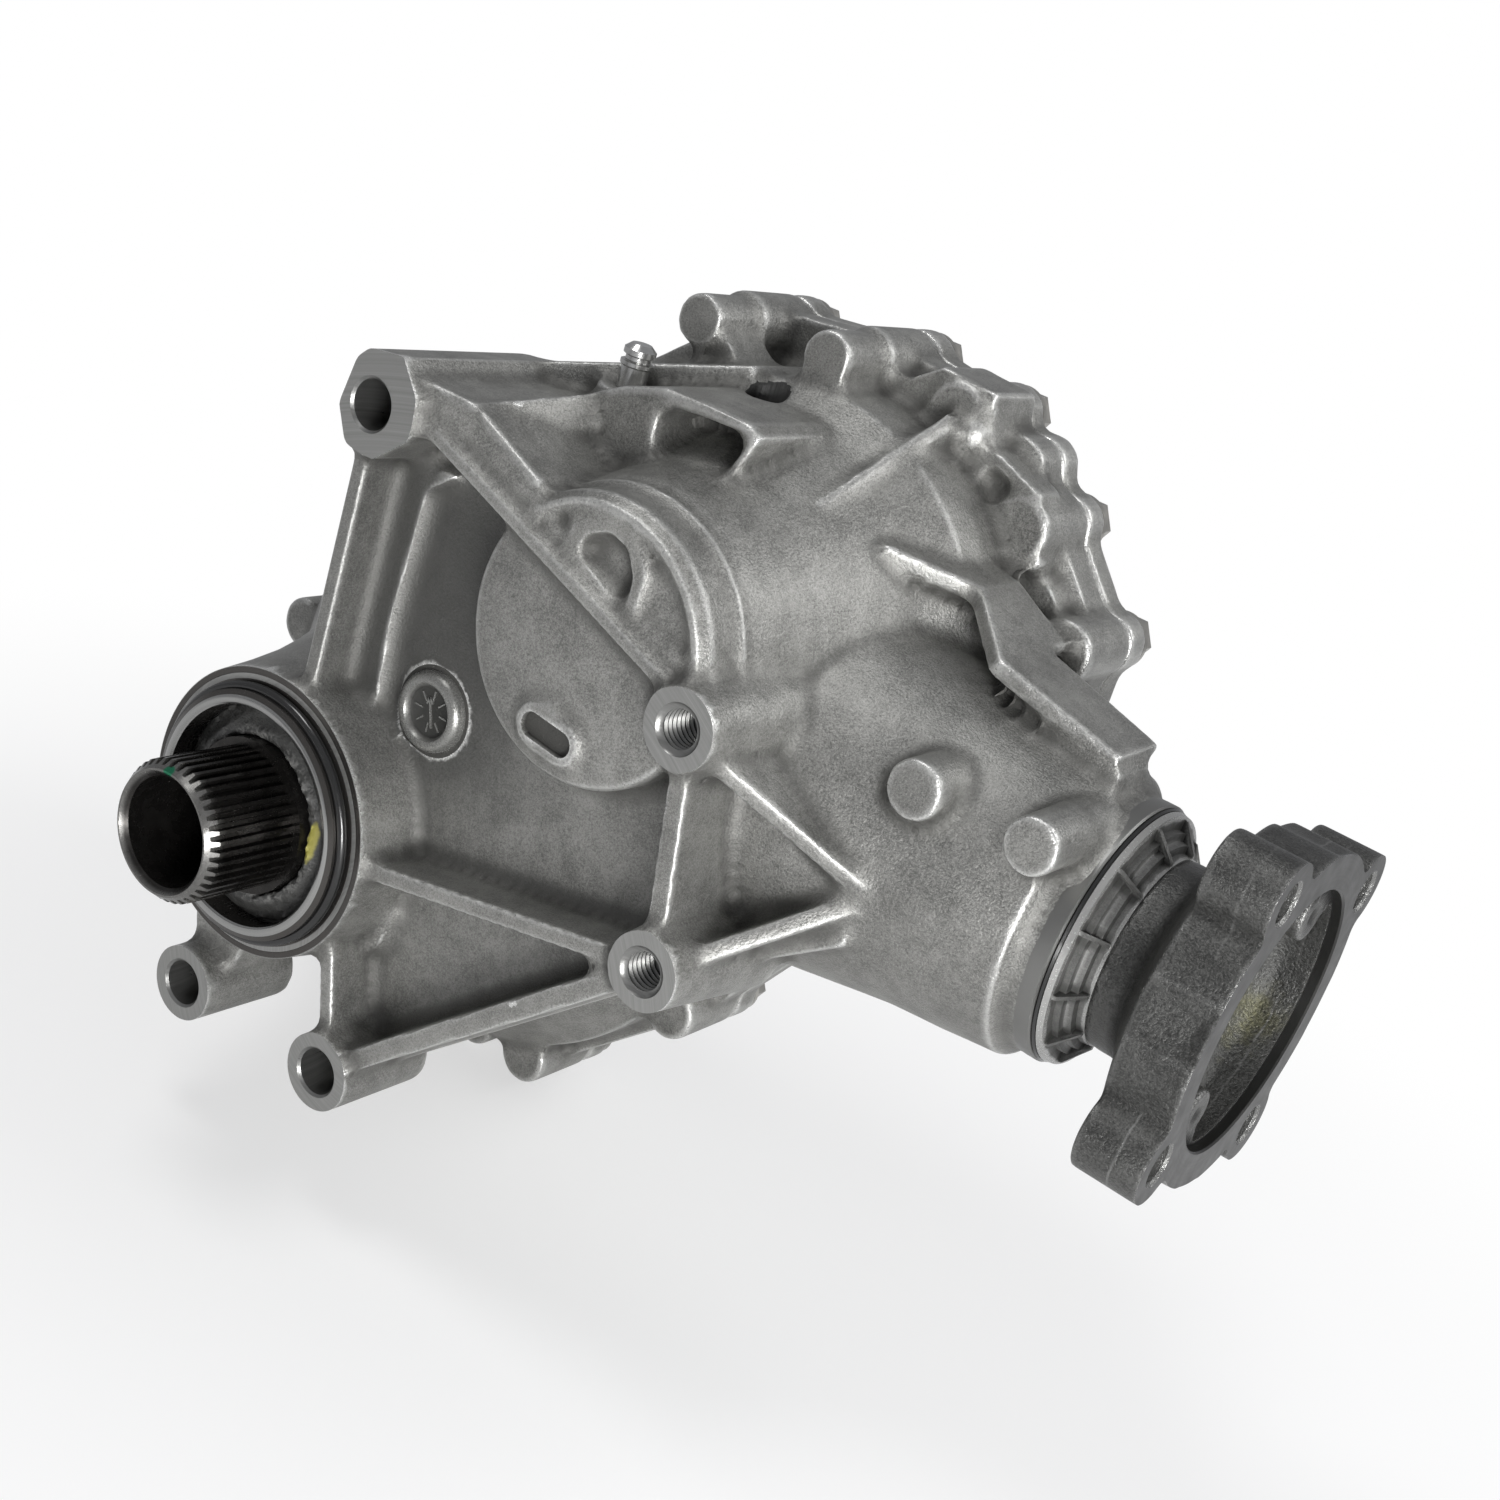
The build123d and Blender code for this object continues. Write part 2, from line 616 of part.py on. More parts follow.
with BuildPart() as input_shaft:
    turn(input_line, [(0, -4), (shaft_radius, -4), (shaft_radius, 43.2), (collar, 43.2), (collar, 52),
                      (shaft_radius, 52), (shaft_radius, 104), (collar, 104), (collar, gear_front - 0.1),
                      (shaft_radius, gear_front - 0.1), (shaft_radius, shaft_tail), (0, shaft_tail)])
    with BuildSketch(input_face.offset(shaft_end)) as spline_profile:
        with BuildLine():
            Polyline(*spline_outline(spline_teeth, spline_tip, spline_root), close=True)
        make_face()
    extrude(spline_profile.sketch, amount=30)
    turn(input_line, [(shaft_rim, shaft_end - 1), (shaft_rim, shaft_end), (spline_tip, shaft_end + 3.3),
                      (24, shaft_end + 3.3), (24, shaft_end - 1)], Mode.SUBTRACT)
    turn(input_line, [(0, shaft_end - 1), (shaft_bore + 1.7, shaft_end - 1), (shaft_bore + 1.7, shaft_end),
                      (shaft_bore, shaft_end + 1.8), (shaft_bore, 20), (shaft_bore + 1.2, 20),
                      (shaft_bore + 1.2, shaft_tail + 1), (0, shaft_tail + 1)], Mode.SUBTRACT)
save(input_shaft, "input_shaft")

with BuildPart() as input_gear:
    helical_blank(input_line, input_teeth, input_pitch, mesh_angle, 1)
    ring(input_line, gear_front - 1, 8, input_pitch - 12, gear_hub, Mode.SUBTRACT)
    ring(input_line, gear_front + gear_width - 7, 8, input_pitch - 12, gear_hub, Mode.SUBTRACT)
    ring(input_line, gear_front - 1, gear_width + 2, shaft_radius + seat, mode=Mode.SUBTRACT)
    with BuildSketch(input_face.offset(gear_front - 1)) as lightening:
        with PolarLocations((gear_hub + input_pitch - 12) / 2, 6):
            Circle(8)
    extrude(lightening.sketch, amount=gear_width + 2, mode=Mode.SUBTRACT)
save(input_gear, "input_gear")

with BuildPart() as gear_snap_ring:
    ring(input_line, gear_front + gear_width + 0.1, 2, collar, shaft_radius + seat)
save(gear_snap_ring, "gear_snap_ring")

with BuildPart() as halfshaft_seal:
    turn(input_line, [(shaft_bore, 157), (18, 155), (26, 155), (26, 162.5), (24, 162.5), (24, 157),
                      (18, 157), (shaft_bore, 159)])
save(halfshaft_seal, "halfshaft_seal")

# Bearings: an outer race, an inner race with its rims, and rollers leaning with the races

race_lean = 12.0


def race(size, start, lean, side, along):
    outer, bore, width = size
    roller = (outer - bore) * 0.2
    reach = side * (roller + running) / cos(radians(lean))
    return (outer + bore) / 2 + reach + (along - start - width / 2) * tan(radians(lean))


def outer_race(line, size, start, lean):
    end = start + size[2]
    turn(line, [(size[0], start), (size[0], end), (race(size, start, lean, 1, end), end),
                (race(size, start, lean, 1, start), start)])


def inner_race(line, size, start, lean):
    bore = size[1] + seat
    end = start + size[2]
    turn(line, [(bore, start), (race(size, start, lean, -1, start) + 1.5, start),
                (race(size, start, lean, -1, start) + 1.5, start + 2),
                (race(size, start, lean, -1, start + 2), start + 2),
                (race(size, start, lean, -1, end - 2), end - 2),
                (race(size, start, lean, -1, end) + 1.5, end - 2),
                (race(size, start, lean, -1, end) + 1.5, end), (bore, end)])


def rollers(line, size, start, lean, count):
    outer, bore, width = size
    with PolarLocations((outer + bore) / 2, count):
        with Locations(Location((0, 0, start + width / 2), (0, lean, 0))):
            Cylinder((outer - bore) * 0.2, width - 6)


with BuildPart() as front_bearing_outer:
    outer_race(input_line, input_bearing, input_bearing_front, 0)
save(front_bearing_outer, "front_bearing_outer")

with BuildPart() as front_bearing_inner:
    inner_race(input_line, input_bearing, input_bearing_front, 0)
save(front_bearing_inner, "front_bearing_inner")

with BuildPart(input_face) as front_bearing_rollers:
    rollers(input_line, input_bearing, input_bearing_front, 0, 14)
save(front_bearing_rollers, "front_bearing_rollers")

with BuildPart() as rear_bearing_outer:
    outer_race(input_line, input_bearing, cover_inner, 0)
save(rear_bearing_outer, "rear_bearing_outer")

with BuildPart() as rear_bearing_inner:
    inner_race(input_line, input_bearing, cover_inner, 0)
save(rear_bearing_inner, "rear_bearing_inner")

with BuildPart(input_face) as rear_bearing_rollers:
    rollers(input_line, input_bearing, cover_inner, 0, 14)
save(rear_bearing_rollers, "rear_bearing_rollers")

# Transfer shaft

wheel_seat = 20.0

with BuildPart() as transfer_shaft:
    turn(transfer_line, [(0, 20.8), (transfer_bearing[1], 20.8), (transfer_bearing[1], 38.6), (19, 38.6),
                         (19, 96), (23, 96), (23, 99), (wheel_seat, 99), (wheel_seat, 134.4),
                         (transfer_bearing[1], 134.4), (transfer_bearing[1], 152.5), (0, 152.5)])
    ring(transfer_line, 20, 140, 8, mode=Mode.SUBTRACT)
save(transfer_shaft, "transfer_shaft")

with BuildPart() as transfer_gear:
    helical_blank(transfer_line, transfer_teeth, transfer_pitch, mesh_angle + 180 + 180 / transfer_teeth, -1)
    ring(transfer_line, gear_front - 1, gear_width + 2, wheel_seat + seat, mode=Mode.SUBTRACT)
    ring(transfer_line, gear_front - 1, 6, 36, 27, Mode.SUBTRACT)
    ring(transfer_line, gear_front + gear_width - 5, 6, 36, 27, Mode.SUBTRACT)
save(transfer_gear, "transfer_gear")

with BuildPart() as wheel_tooth:
    loft([wheel_tooth_face(wheel_inner), wheel_tooth_face(wheel_mean), wheel_tooth_face(wheel_outer)],
         ruled=True)

with BuildPart() as hypoid_wheel:
    turn(transfer_line, [(wheel_seat + seat, 99.2), (wheel_inner - 6, 99.2),
                         (wheel_inner - 3, wheel_root(wheel_inner)),
                         (wheel_inner, wheel_root(wheel_inner)), (wheel_outer, wheel_root(wheel_outer)),
                         (wheel_outer, wheel_back), (wheel_seat + seat, wheel_back)])
    with Locations(transfer_face):
        with PolarLocations(0, wheel_teeth, start_angle=degrees(contact_angle(wheel_mean))):
            add(wheel_tooth.part)
save(hypoid_wheel, "hypoid_wheel")

with BuildPart() as transfer_spacer:
    ring(transfer_line, wheel_back + 0.05, gear_front - wheel_back - 0.1, 30, wheel_seat + seat)
save(transfer_spacer, "transfer_spacer")

with BuildPart() as transfer_front_cup:
    outer_race(transfer_line, transfer_bearing, transfer_bearing_front, race_lean)
save(transfer_front_cup, "transfer_front_cup")

with BuildPart() as transfer_front_cone:
    inner_race(transfer_line, transfer_bearing, transfer_bearing_front, race_lean)
save(transfer_front_cone, "transfer_front_cone")

with BuildPart(transfer_face) as transfer_front_rollers:
    rollers(transfer_line, transfer_bearing, transfer_bearing_front, race_lean, 14)
save(transfer_front_rollers, "transfer_front_rollers")

with BuildPart() as transfer_rear_cup:
    outer_race(transfer_line, transfer_bearing, cover_inner, -race_lean)
save(transfer_rear_cup, "transfer_rear_cup")

with BuildPart() as transfer_rear_cone:
    inner_race(transfer_line, transfer_bearing, cover_inner, -race_lean)
save(transfer_rear_cone, "transfer_rear_cone")

with BuildPart(transfer_face) as transfer_rear_rollers:
    rollers(transfer_line, transfer_bearing, cover_inner, -race_lean, 14)
save(transfer_rear_rollers, "transfer_rear_rollers")

with BuildPart() as transfer_shim:
    ring(transfer_line, cover_inner + transfer_bearing[2] + 0.05, 0.6, transfer_bearing[0], 26)
save(transfer_shim, "transfer_shim")

# Output side

head_back = 146.4
nut_start = 240.4
thread_radius = 12.0

with BuildPart() as pinion_shaft:
    loft([pinion_face(wheel_inner), pinion_face(wheel_mean), pinion_face(wheel_outer)], ruled=True)
    turn(output_line, [(0, contact_x(wheel_outer) - 1), (21, contact_x(wheel_outer) - 1), (21, head_back),
                       (head_bearing[1], head_back), (head_bearing[1], 165.2), (pinion_shaft_radius, 165.2),
                       (pinion_shaft_radius, nut_start), (thread_radius, nut_start),
                       (thread_radius, 251), (thread_radius - 1.5, 252.5), (0, 252.5)])
save(pinion_shaft, "pinion_shaft")

with BuildPart() as pinion_shim:
    ring(output_line, head_back + 0.05, 1.5, 22, head_bearing[1] + seat)
save(pinion_shim, "pinion_shim")

with BuildPart() as pinion_spacer:
    turn(output_line, [(pinion_shaft_radius + seat, 165.3), (17, 165.3), (20, 172), (20, 179), (17, 185.9),
                       (pinion_shaft_radius + seat, 185.9), (17, 179), (17, 172)])
save(pinion_spacer, "pinion_spacer")

with BuildPart() as head_bearing_cup:
    outer_race(output_line, head_bearing, head_bearing_start, -race_lean)
save(head_bearing_cup, "head_bearing_cup")

with BuildPart() as head_bearing_cone:
    inner_race(output_line, head_bearing, head_bearing_start, -race_lean)
save(head_bearing_cone, "head_bearing_cone")

with BuildPart(output_plane) as head_bearing_rollers:
    rollers(output_line, head_bearing, head_bearing_start, -race_lean, 14)
save(head_bearing_rollers, "head_bearing_rollers")

with BuildPart() as tail_bearing_cup:
    outer_race(output_line, tail_bearing, tail_bearing_start, race_lean)
save(tail_bearing_cup, "tail_bearing_cup")

with BuildPart() as tail_bearing_cone:
    inner_race(output_line, tail_bearing, tail_bearing_start, race_lean)
save(tail_bearing_cone, "tail_bearing_cone")

with BuildPart(output_plane) as tail_bearing_rollers:
    rollers(output_line, tail_bearing, tail_bearing_start, race_lean, 12)
save(tail_bearing_rollers, "tail_bearing_rollers")

seal_start = neck_end - 12.0

with BuildPart() as pinion_seal:
    turn(output_line, [(hub_radius + running, seal_start + 2), (22, seal_start), (31, seal_start),
                       (31, neck_end - 0.6), (28, neck_end - 0.6), (28, seal_start + 3),
                       (22.5, seal_start + 3), (hub_radius + running, seal_start + 4.5)])
save(pinion_seal, "pinion_seal")

flange_thick = 18.0
flange_back = output_face - flange_thick
flange_disc = 46.0
bowl_inner = 35.0
lug_face = output_face - flange_bore_depth - 0.2
lobe_places = [(flange_pcd / 2 * cos(radians(flange_turn + 90 * k)),
                flange_pcd / 2 * sin(radians(flange_turn + 90 * k))) for k in range(4)]
lug_places = [(28 * cos(radians(a)), 28 * sin(radians(a))) for a in (62, -118)]

with BuildPart() as output_flange:
    turn(output_line, [(pinion_shaft_radius + seat, 201.2), (hub_radius, 201.2),
                       (hub_radius, slinger_start - 0.6),
                       (barrel_radius - 1.5, slinger_start - 0.6),
                       (barrel_radius - 1.5, slinger_start + slinger_width + 0.1),
                       (barrel_radius, slinger_start + slinger_width + 0.1), (barrel_radius, 238), (32, 241),
                       (flange_disc, flange_back), (flange_disc, output_face), (flange_bore, output_face),
                       (flange_bore, output_face - flange_bore_depth),
                       (bowl_inner, output_face - flange_bore_depth), (bowl_inner, 252), (31, 248),
                       (26, 246), (26, nut_start - 0.2),
                       (pinion_shaft_radius + seat, nut_start - 0.2)])
    with BuildSketch(output_plane.offset(flange_back)) as lobes:
        with Locations(*lobe_places):
            Circle(flange_lobe)
    extrude(lobes.sketch, amount=flange_thick)
    with BuildSketch(output_plane.offset(244)) as lugs:
        with Locations(*lug_places):
            Circle(7)
    extrude(lugs.sketch, amount=lug_face - 244)
    with BuildSketch(output_plane.offset(230)) as holes:
        with Locations(*lobe_places):
            Circle(flange_hole)
        with Locations(*lug_places):
            Circle(2.2)
    extrude(holes.sketch, amount=40, mode=Mode.SUBTRACT)
    with BuildSketch(output_plane.offset(230)) as scallops:
        with PolarLocations(68, 4, start_angle=flange_turn + 45):
            Circle(24)
    extrude(scallops.sketch, amount=40, mode=Mode.SUBTRACT)
save(output_flange, "output_flange")

slinger_bore = barrel_radius - 1.5 + seat
slinger_end = slinger_start + slinger_width

with BuildPart() as slinger_ring:
    turn(output_line, [(slinger_bore, slinger_start), (slinger_radius, slinger_start),
                       (slinger_radius - 0.4, slinger_start + 1.6), (slinger_radius - 2, slinger_start + 1.9),
                       (31.4, slinger_start + 1.9), (31.2, slinger_start + 3.6), (29.2, slinger_start + 3.8),
                       (28.8, slinger_start + 5.6), (26.8, slinger_start + 5.8), (26.4, slinger_end),
                       (slinger_bore, slinger_end)])
    for number in range(slinger_ribs):
        angle = 2 * pi * (number + 0.4) / slinger_ribs
        radial = (0, cos(angle), sin(angle))
        across = (0, sin(angle), -cos(angle))
        with BuildSketch(Plane(origin=(0, output_y, output_z), x_dir=radial, z_dir=across)) as web:
            with BuildLine():
                Polyline((slinger_bore + 0.5, slinger_start + 1), (slinger_radius - 1, slinger_start + 1),
                         (slinger_radius - 1.4, slinger_start + 2.6), (27.4, slinger_end - 0.2),
                         (slinger_bore + 0.5, slinger_end - 0.2), close=True)
            make_face()
        extrude(web.sketch, amount=0.6, both=True)
save(slinger_ring, "slinger_ring")

with BuildPart() as pinion_nut:
    with BuildSketch(output_plane.offset(nut_start)) as nut_profile:
        RegularPolygon(20, 6)
        Circle(thread_radius + seat, mode=Mode.SUBTRACT)
    extrude(nut_profile.sketch, amount=9)
save(pinion_nut, "pinion_nut")
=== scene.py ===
import bpy
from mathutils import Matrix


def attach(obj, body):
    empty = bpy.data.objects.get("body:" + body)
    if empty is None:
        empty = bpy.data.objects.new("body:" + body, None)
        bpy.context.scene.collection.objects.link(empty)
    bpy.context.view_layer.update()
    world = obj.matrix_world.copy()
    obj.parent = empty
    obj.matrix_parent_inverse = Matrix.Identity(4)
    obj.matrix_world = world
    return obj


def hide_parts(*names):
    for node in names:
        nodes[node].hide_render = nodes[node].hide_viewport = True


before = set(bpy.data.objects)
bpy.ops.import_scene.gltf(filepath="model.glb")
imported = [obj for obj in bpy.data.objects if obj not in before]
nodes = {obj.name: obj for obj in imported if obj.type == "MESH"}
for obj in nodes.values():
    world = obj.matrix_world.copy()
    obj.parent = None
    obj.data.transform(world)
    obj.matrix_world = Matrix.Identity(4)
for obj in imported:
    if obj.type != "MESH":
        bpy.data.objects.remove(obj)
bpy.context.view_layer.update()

import bpy, bmesh, math
from mathutils import Matrix, Vector

mm = 0.001  # the shapes below are written in millimetres
scene = bpy.context.scene
print("frame loaded:", len(nodes), "nodes")


# shader helpers
class Wire:
    # one output socket that takes part in sums
    def __init__(self, graph, socket):
        self.graph, self.socket = graph, socket

    def maths(self, operation, first, second=0.0, clamp=False):
        settings = {"operation": operation, "use_clamp": clamp}
        return self.graph.node("ShaderNodeMath", settings, {0: first, 1: second})

    def __add__(self, other):
        return self.maths("ADD", self, other)

    def __radd__(self, other):
        return self.maths("ADD", other, self)

    def __sub__(self, other):
        return self.maths("SUBTRACT", self, other)

    def __rsub__(self, other):
        return self.maths("SUBTRACT", other, self)

    def __mul__(self, other):
        return self.maths("MULTIPLY", self, other)

    def __rmul__(self, other):
        return self.maths("MULTIPLY", other, self)

    def absolute(self):
        return self.maths("ABSOLUTE", self)

    def clamped(self):
        return self.maths("ADD", self, 0.0, clamp=True)


class Graph:
    # a node tree whose nodes all come from one method
    def __init__(self, tree):
        self.tree = tree
        tree.nodes.clear()

    def node(self, kind, settings=(), values=(), output=0):
        made = self.tree.nodes.new(kind)
        for key, value in dict(settings).items():
            setattr(made, key, value)
        for key, value in dict(values).items():
            self.put(made.inputs[key], value)
        return Wire(self, made.outputs[output]) if made.outputs else made

    def put(self, socket, value):
        if isinstance(value, Wire):
            self.tree.links.new(value.socket, socket)
        elif socket.type == "RGBA":
            socket.default_value = (*value, 1)
        else:
            socket.default_value = value


class Finish(Graph):
    # a node material for one finish
    sockets = {"colour": "Base Color", "rough": "Roughness", "metal": "Metallic", "normal": "Normal"}

    def __init__(self, name):
        self.material = bpy.data.materials.new(name)
        self.material.use_nodes = True
        super().__init__(self.material.node_tree)
        self.shader = self.node("ShaderNodeBsdfPrincipled")
        self.out = self.node("ShaderNodeOutputMaterial", values={"Surface": self.shader})

    def set(self, **values):
        for key, value in values.items():
            self.put(self.shader.socket.node.inputs[self.sockets[key]], value)
        return self.material

    def place(self):
        return self.node("ShaderNodeTexCoord", output="Object")

    def axis(self, letter):
        return self.node("ShaderNodeSeparateXYZ", values={"Vector": self.place()}, output=letter)

    def vectors(self, operation, first, second=(0, 0, 0), output=0):
        return self.node("ShaderNodeVectorMath", {"operation": operation}, {0: first, 1: second}, output)

    def distance(self, centre=(0, 0, 0), scale=(1, 1, 1)):
        # metres from a centre; a scale of 0 leaves its axis out
        offset = self.vectors("SUBTRACT", self.place(), centre)
        return self.vectors("LENGTH", self.vectors("MULTIPLY", offset, scale), output="Value")

    def fade(self, value, low, high):
        # 0 below low, 1 above high
        values = {"Value": value, "From Min": low, "From Max": high}
        return self.node("ShaderNodeMapRange", {"interpolation_type": "SMOOTHSTEP"}, values)

    def spot(self, centre, inner, outer, wobble, scale=(1, 1, 1)):
        # 1 round a centre and 0 away from it, with an uneven edge
        return 1.0 - self.fade(self.distance(centre, scale) + wobble, inner, outer)

    def edges(self):
        # 0 in creases, 1 on crests, from the shape itself
        return self.fade(self.node("ShaderNodeNewGeometry", output="Pointiness"), 0.44, 0.56)

    def grain(self, size, detail=3, rough=0.6, at=None):
        values = {"Vector": at or self.place(), "Scale": 1 / size, "Detail": detail, "Roughness": rough}
        return self.node("ShaderNodeTexNoise", values=values)

    def bump(self, height, depth, strength=1.0, under=None):
        values = {"Height": height, "Distance": depth, "Strength": strength}
        if under:
            values["Normal"] = under
        return self.node("ShaderNodeBump", values=values)

    def mix(self, factor, first, second):
        # a colour mix, whose colour sockets are the seventh and eighth
        return self.node("ShaderNodeMix", {"data_type": "RGBA"}, {0: factor, 6: first, 7: second}, 2)


def shade(colour, amount):
    # the same colour, darker or lighter
    return [c * amount for c in colour]


def paintedPocketShade(paint, base, colour, pocketShade, mottle):
    # painted shade on the cast skin of the pocket floors, more of it deeper in and round one place
    normal = paint.node("ShaderNodeNewGeometry", output="Normal")
    facing = paint.node("ShaderNodeSeparateXYZ", values={"Vector": normal}, output="Y")
    near = paint.spot(pocketShade["centre"], pocketShade["inner"], pocketShade["outer"], (mottle - 0.5) * 0.03)
    floorFace = (facing * -2.0 - 0.7).clamped() * paint.fade(paint.axis("Y"), *pocketShade["depths"])
    pocketShadeAmount = (near * pocketShade["deep"] + pocketShade["floorShade"]) * floorFace + near * pocketShade["walls"]
    return paint.mix(pocketShadeAmount.clamped(), base, shade(colour, 0.3))


def paintMark(paint, base, smear, cloud, fine):
    # a faint mark of dry paint
    near = paint.spot(smear["centre"], smear["inner"], smear["outer"], (cloud - 0.5) * 0.02)
    mark = near * (fine * 1.6 - 0.3) * smear["strength"]
    return paint.mix(mark.clamped(), base, smear["colour"])


def mouldLine(paint, base, crest, at, cloud, mottle):
    # the thin broken line where the halves of the mould met
    away = (paint.axis("X") - at + (cloud - 0.5) * 0.0016).absolute()
    line = (1.0 - paint.fade(away, 0.0001, 0.00045)) * ((mottle - 0.42) * 6.0).clamped()
    return paint.mix((line * 0.8).clamped(), base, crest)


def castFinish(name, colour, crest, creaseShade, rough=0.5, metal=0.6, grit=0.0009, depth=0.00022, contrast=1.0,
               pocketShade=None, smear=None, parting=None):
    # a cast skin: mottled, with painted shade in its creases and its crests rubbed bright, with a painted
    # highlight on them
    paint = Finish(name)
    mottle = paint.grain(0.022, 4)
    cloud = paint.grain(0.006)
    fine = paint.grain(grit, 3, 0.7)
    speck = paint.grain(grit * 0.5, 2, 0.8)
    shape = paint.edges()
    patch = (mottle - 0.5) * 0.9 + (cloud - 0.5) * 0.8 + (fine - 0.5) * 1.3 + (speck - 0.5) * 1.3
    base = paint.mix((patch * contrast + 0.5).clamped(), shade(colour, 0.6), shade(colour, 1.42))
    # painted shade on the pocket floors
    if pocketShade:
        base = paintedPocketShade(paint, base, colour, pocketShade, mottle)
    # painted shade in the creases
    base = paint.mix(((0.45 - shape) * 2.6).clamped(), base, creaseShade)
    # the crests rubbed bright, with a painted highlight on them
    base = paint.mix(((shape - 0.55) * 3.0 * (0.55 + fine)).clamped(), base, crest)
    if smear:
        base = paintMark(paint, base, smear, cloud, fine)
    if parting:
        base = mouldLine(paint, base, crest, parting, cloud, mottle)
    gloss = rough + (fine - 0.5) * 0.4 - (shape - 0.5) * 0.4
    lumps = paint.bump(cloud, depth * 1.6, 0.4, paint.bump(fine, depth, 0.8))
    return paint.set(colour=base, rough=gloss.clamped(), metal=metal, normal=lumps)


def machinedFinish(name, colour, centre, along, rough=0.3, metal=0.9):
    # arcs of a face cutter about a centre, on the plane square to one axis
    paint = Finish(name)
    reach = paint.distance(centre, [0.0 if i == along else 1.0 for i in range(3)])
    rings = paint.node("ShaderNodeCombineXYZ", values={"X": reach * 900.0})
    lines = paint.grain(1.0, 3, 0.7, rings)
    wobble = paint.grain(0.006, 2)
    tint = paint.mix(((lines - 0.35) * 2.2).clamped(), shade(colour, 0.72), shade(colour, 1.12))
    gloss = rough + (wobble - 0.5) * 0.2 + (lines - 0.5) * 0.15
    return paint.set(colour=tint, rough=gloss.clamped(), metal=metal, normal=paint.bump(lines, 0.00005, 0.5))


def steelFinish(name, colour, rough=0.3, metal=0.9):
    # clouded steel with fine scratches along it
    paint = Finish(name)
    cloud = paint.grain(0.004)
    stretched = paint.node("ShaderNodeMapping", values={"Vector": paint.place(), "Scale": (1.0, 0.12, 1.0)})
    scratch = paint.grain(0.0012, 2, 0.6, stretched)
    tint = paint.mix(((cloud - 0.3) * 1.8).clamped(), shade(colour, 0.82), shade(colour, 1.1))
    gloss = rough + (cloud - 0.5) * 0.25
    lumps = paint.bump(scratch, 0.00003, 0.4)
    return paint.set(colour=tint, rough=gloss.clamped(), metal=metal, normal=lumps)


shaftLook = {"dark": (0.035, 0.033, 0.031), "worn": (0.17, 0.167, 0.16), "wornEnd": (-0.0318, -0.0272),
             "wornRadius": (0.0160, 0.0172), "dot": (-0.002, -0.0328, 0.0178),
             "dotColour": (0.02, 0.17, 0.09)}


def shaftFinish(name, look):
    # dark steel with the ends of its splines worn bright and a dot of green paint on the rim
    paint = Finish(name)
    cloud = paint.grain(0.004)
    fine = paint.grain(0.0008, 2)
    front = 1.0 - paint.fade(paint.axis("Y") + (cloud - 0.5) * 0.003, *look["wornEnd"])
    outer = paint.fade(paint.distance(scale=(1, 0, 1)), *look["wornRadius"])
    base = paint.mix(((cloud - 0.3) * 1.8).clamped(), shade(look["dark"], 0.7), shade(look["dark"], 1.3))
    base = paint.mix((front * outer * (0.45 + fine)).clamped(), base, look["worn"])
    base = paint.mix(paint.spot(look["dot"], 0.0014, 0.0022, (cloud - 0.5) * 0.001), base, look["dotColour"])
    gloss = 0.27 + (cloud - 0.5) * 0.25
    return paint.set(colour=base, rough=gloss.clamped(), metal=0.85, normal=paint.bump(fine, 0.00003, 0.4))


feltLook = {"grease": (0.02, 0.02, 0.019), "dry": (0.2, 0.198, 0.19), "dryRadius": (0.0245, 0.0272),
            "mark": (0.0243, 0.0, 0.0035), "markScale": (2.6, 0.5, 0.75), "markColour": (0.28, 0.255, 0.05)}


def feltFinish(name, look):
    # black grease over grey felt, with a yellow mark beside the shaft
    paint = Finish(name)
    lump = paint.grain(0.003, 4, 0.7)
    fine = paint.grain(0.0007, 2)
    inside = paint.spot((0, 0, 0), *look["dryRadius"], (lump - 0.5) * 0.008, (1, 0, 1))
    base = paint.mix(lump, look["grease"], shade(look["grease"], 2.6))
    base = paint.mix((inside * (lump * 4.0 - 1.85 + (fine - 0.5) * 1.5)).clamped(), base, look["dry"])
    mark = paint.spot(look["mark"], 0.0035, 0.0052, (lump - 0.5) * 0.003, look["markScale"])
    base = paint.mix(mark * 0.9, base, look["markColour"])
    gloss = 0.5 + (lump - 0.5) * 0.6
    return paint.set(colour=base, rough=gloss.clamped(), normal=paint.bump(lump, 0.0008, 0.9))


def rubberFinish(name, colour, rough=0.35):
    # rubber with a little dust on it
    paint = Finish(name)
    dust = paint.grain(0.002)
    tint = paint.mix(dust, colour, shade(colour, 1.6))
    gloss = rough + (dust - 0.5) * 0.2
    return paint.set(colour=tint, rough=gloss.clamped(), normal=paint.bump(dust, 0.00004, 0.4))


# where the painted shade in the pockets lies, how deep it starts and how strong it is
pocketShadeLook = {"centre": (0.022, 0.02, 0.072), "inner": 0.03, "outer": 0.075, "depths": (0.009, 0.017),
               "deep": 0.42, "floorShade": 0.2, "walls": 0.25}
yellowSmear = {"centre": (0.2525, 0.105, 0.050), "inner": 0.002, "outer": 0.0125, "strength": 0.42,
               "colour": (0.15, 0.14, 0.02)}
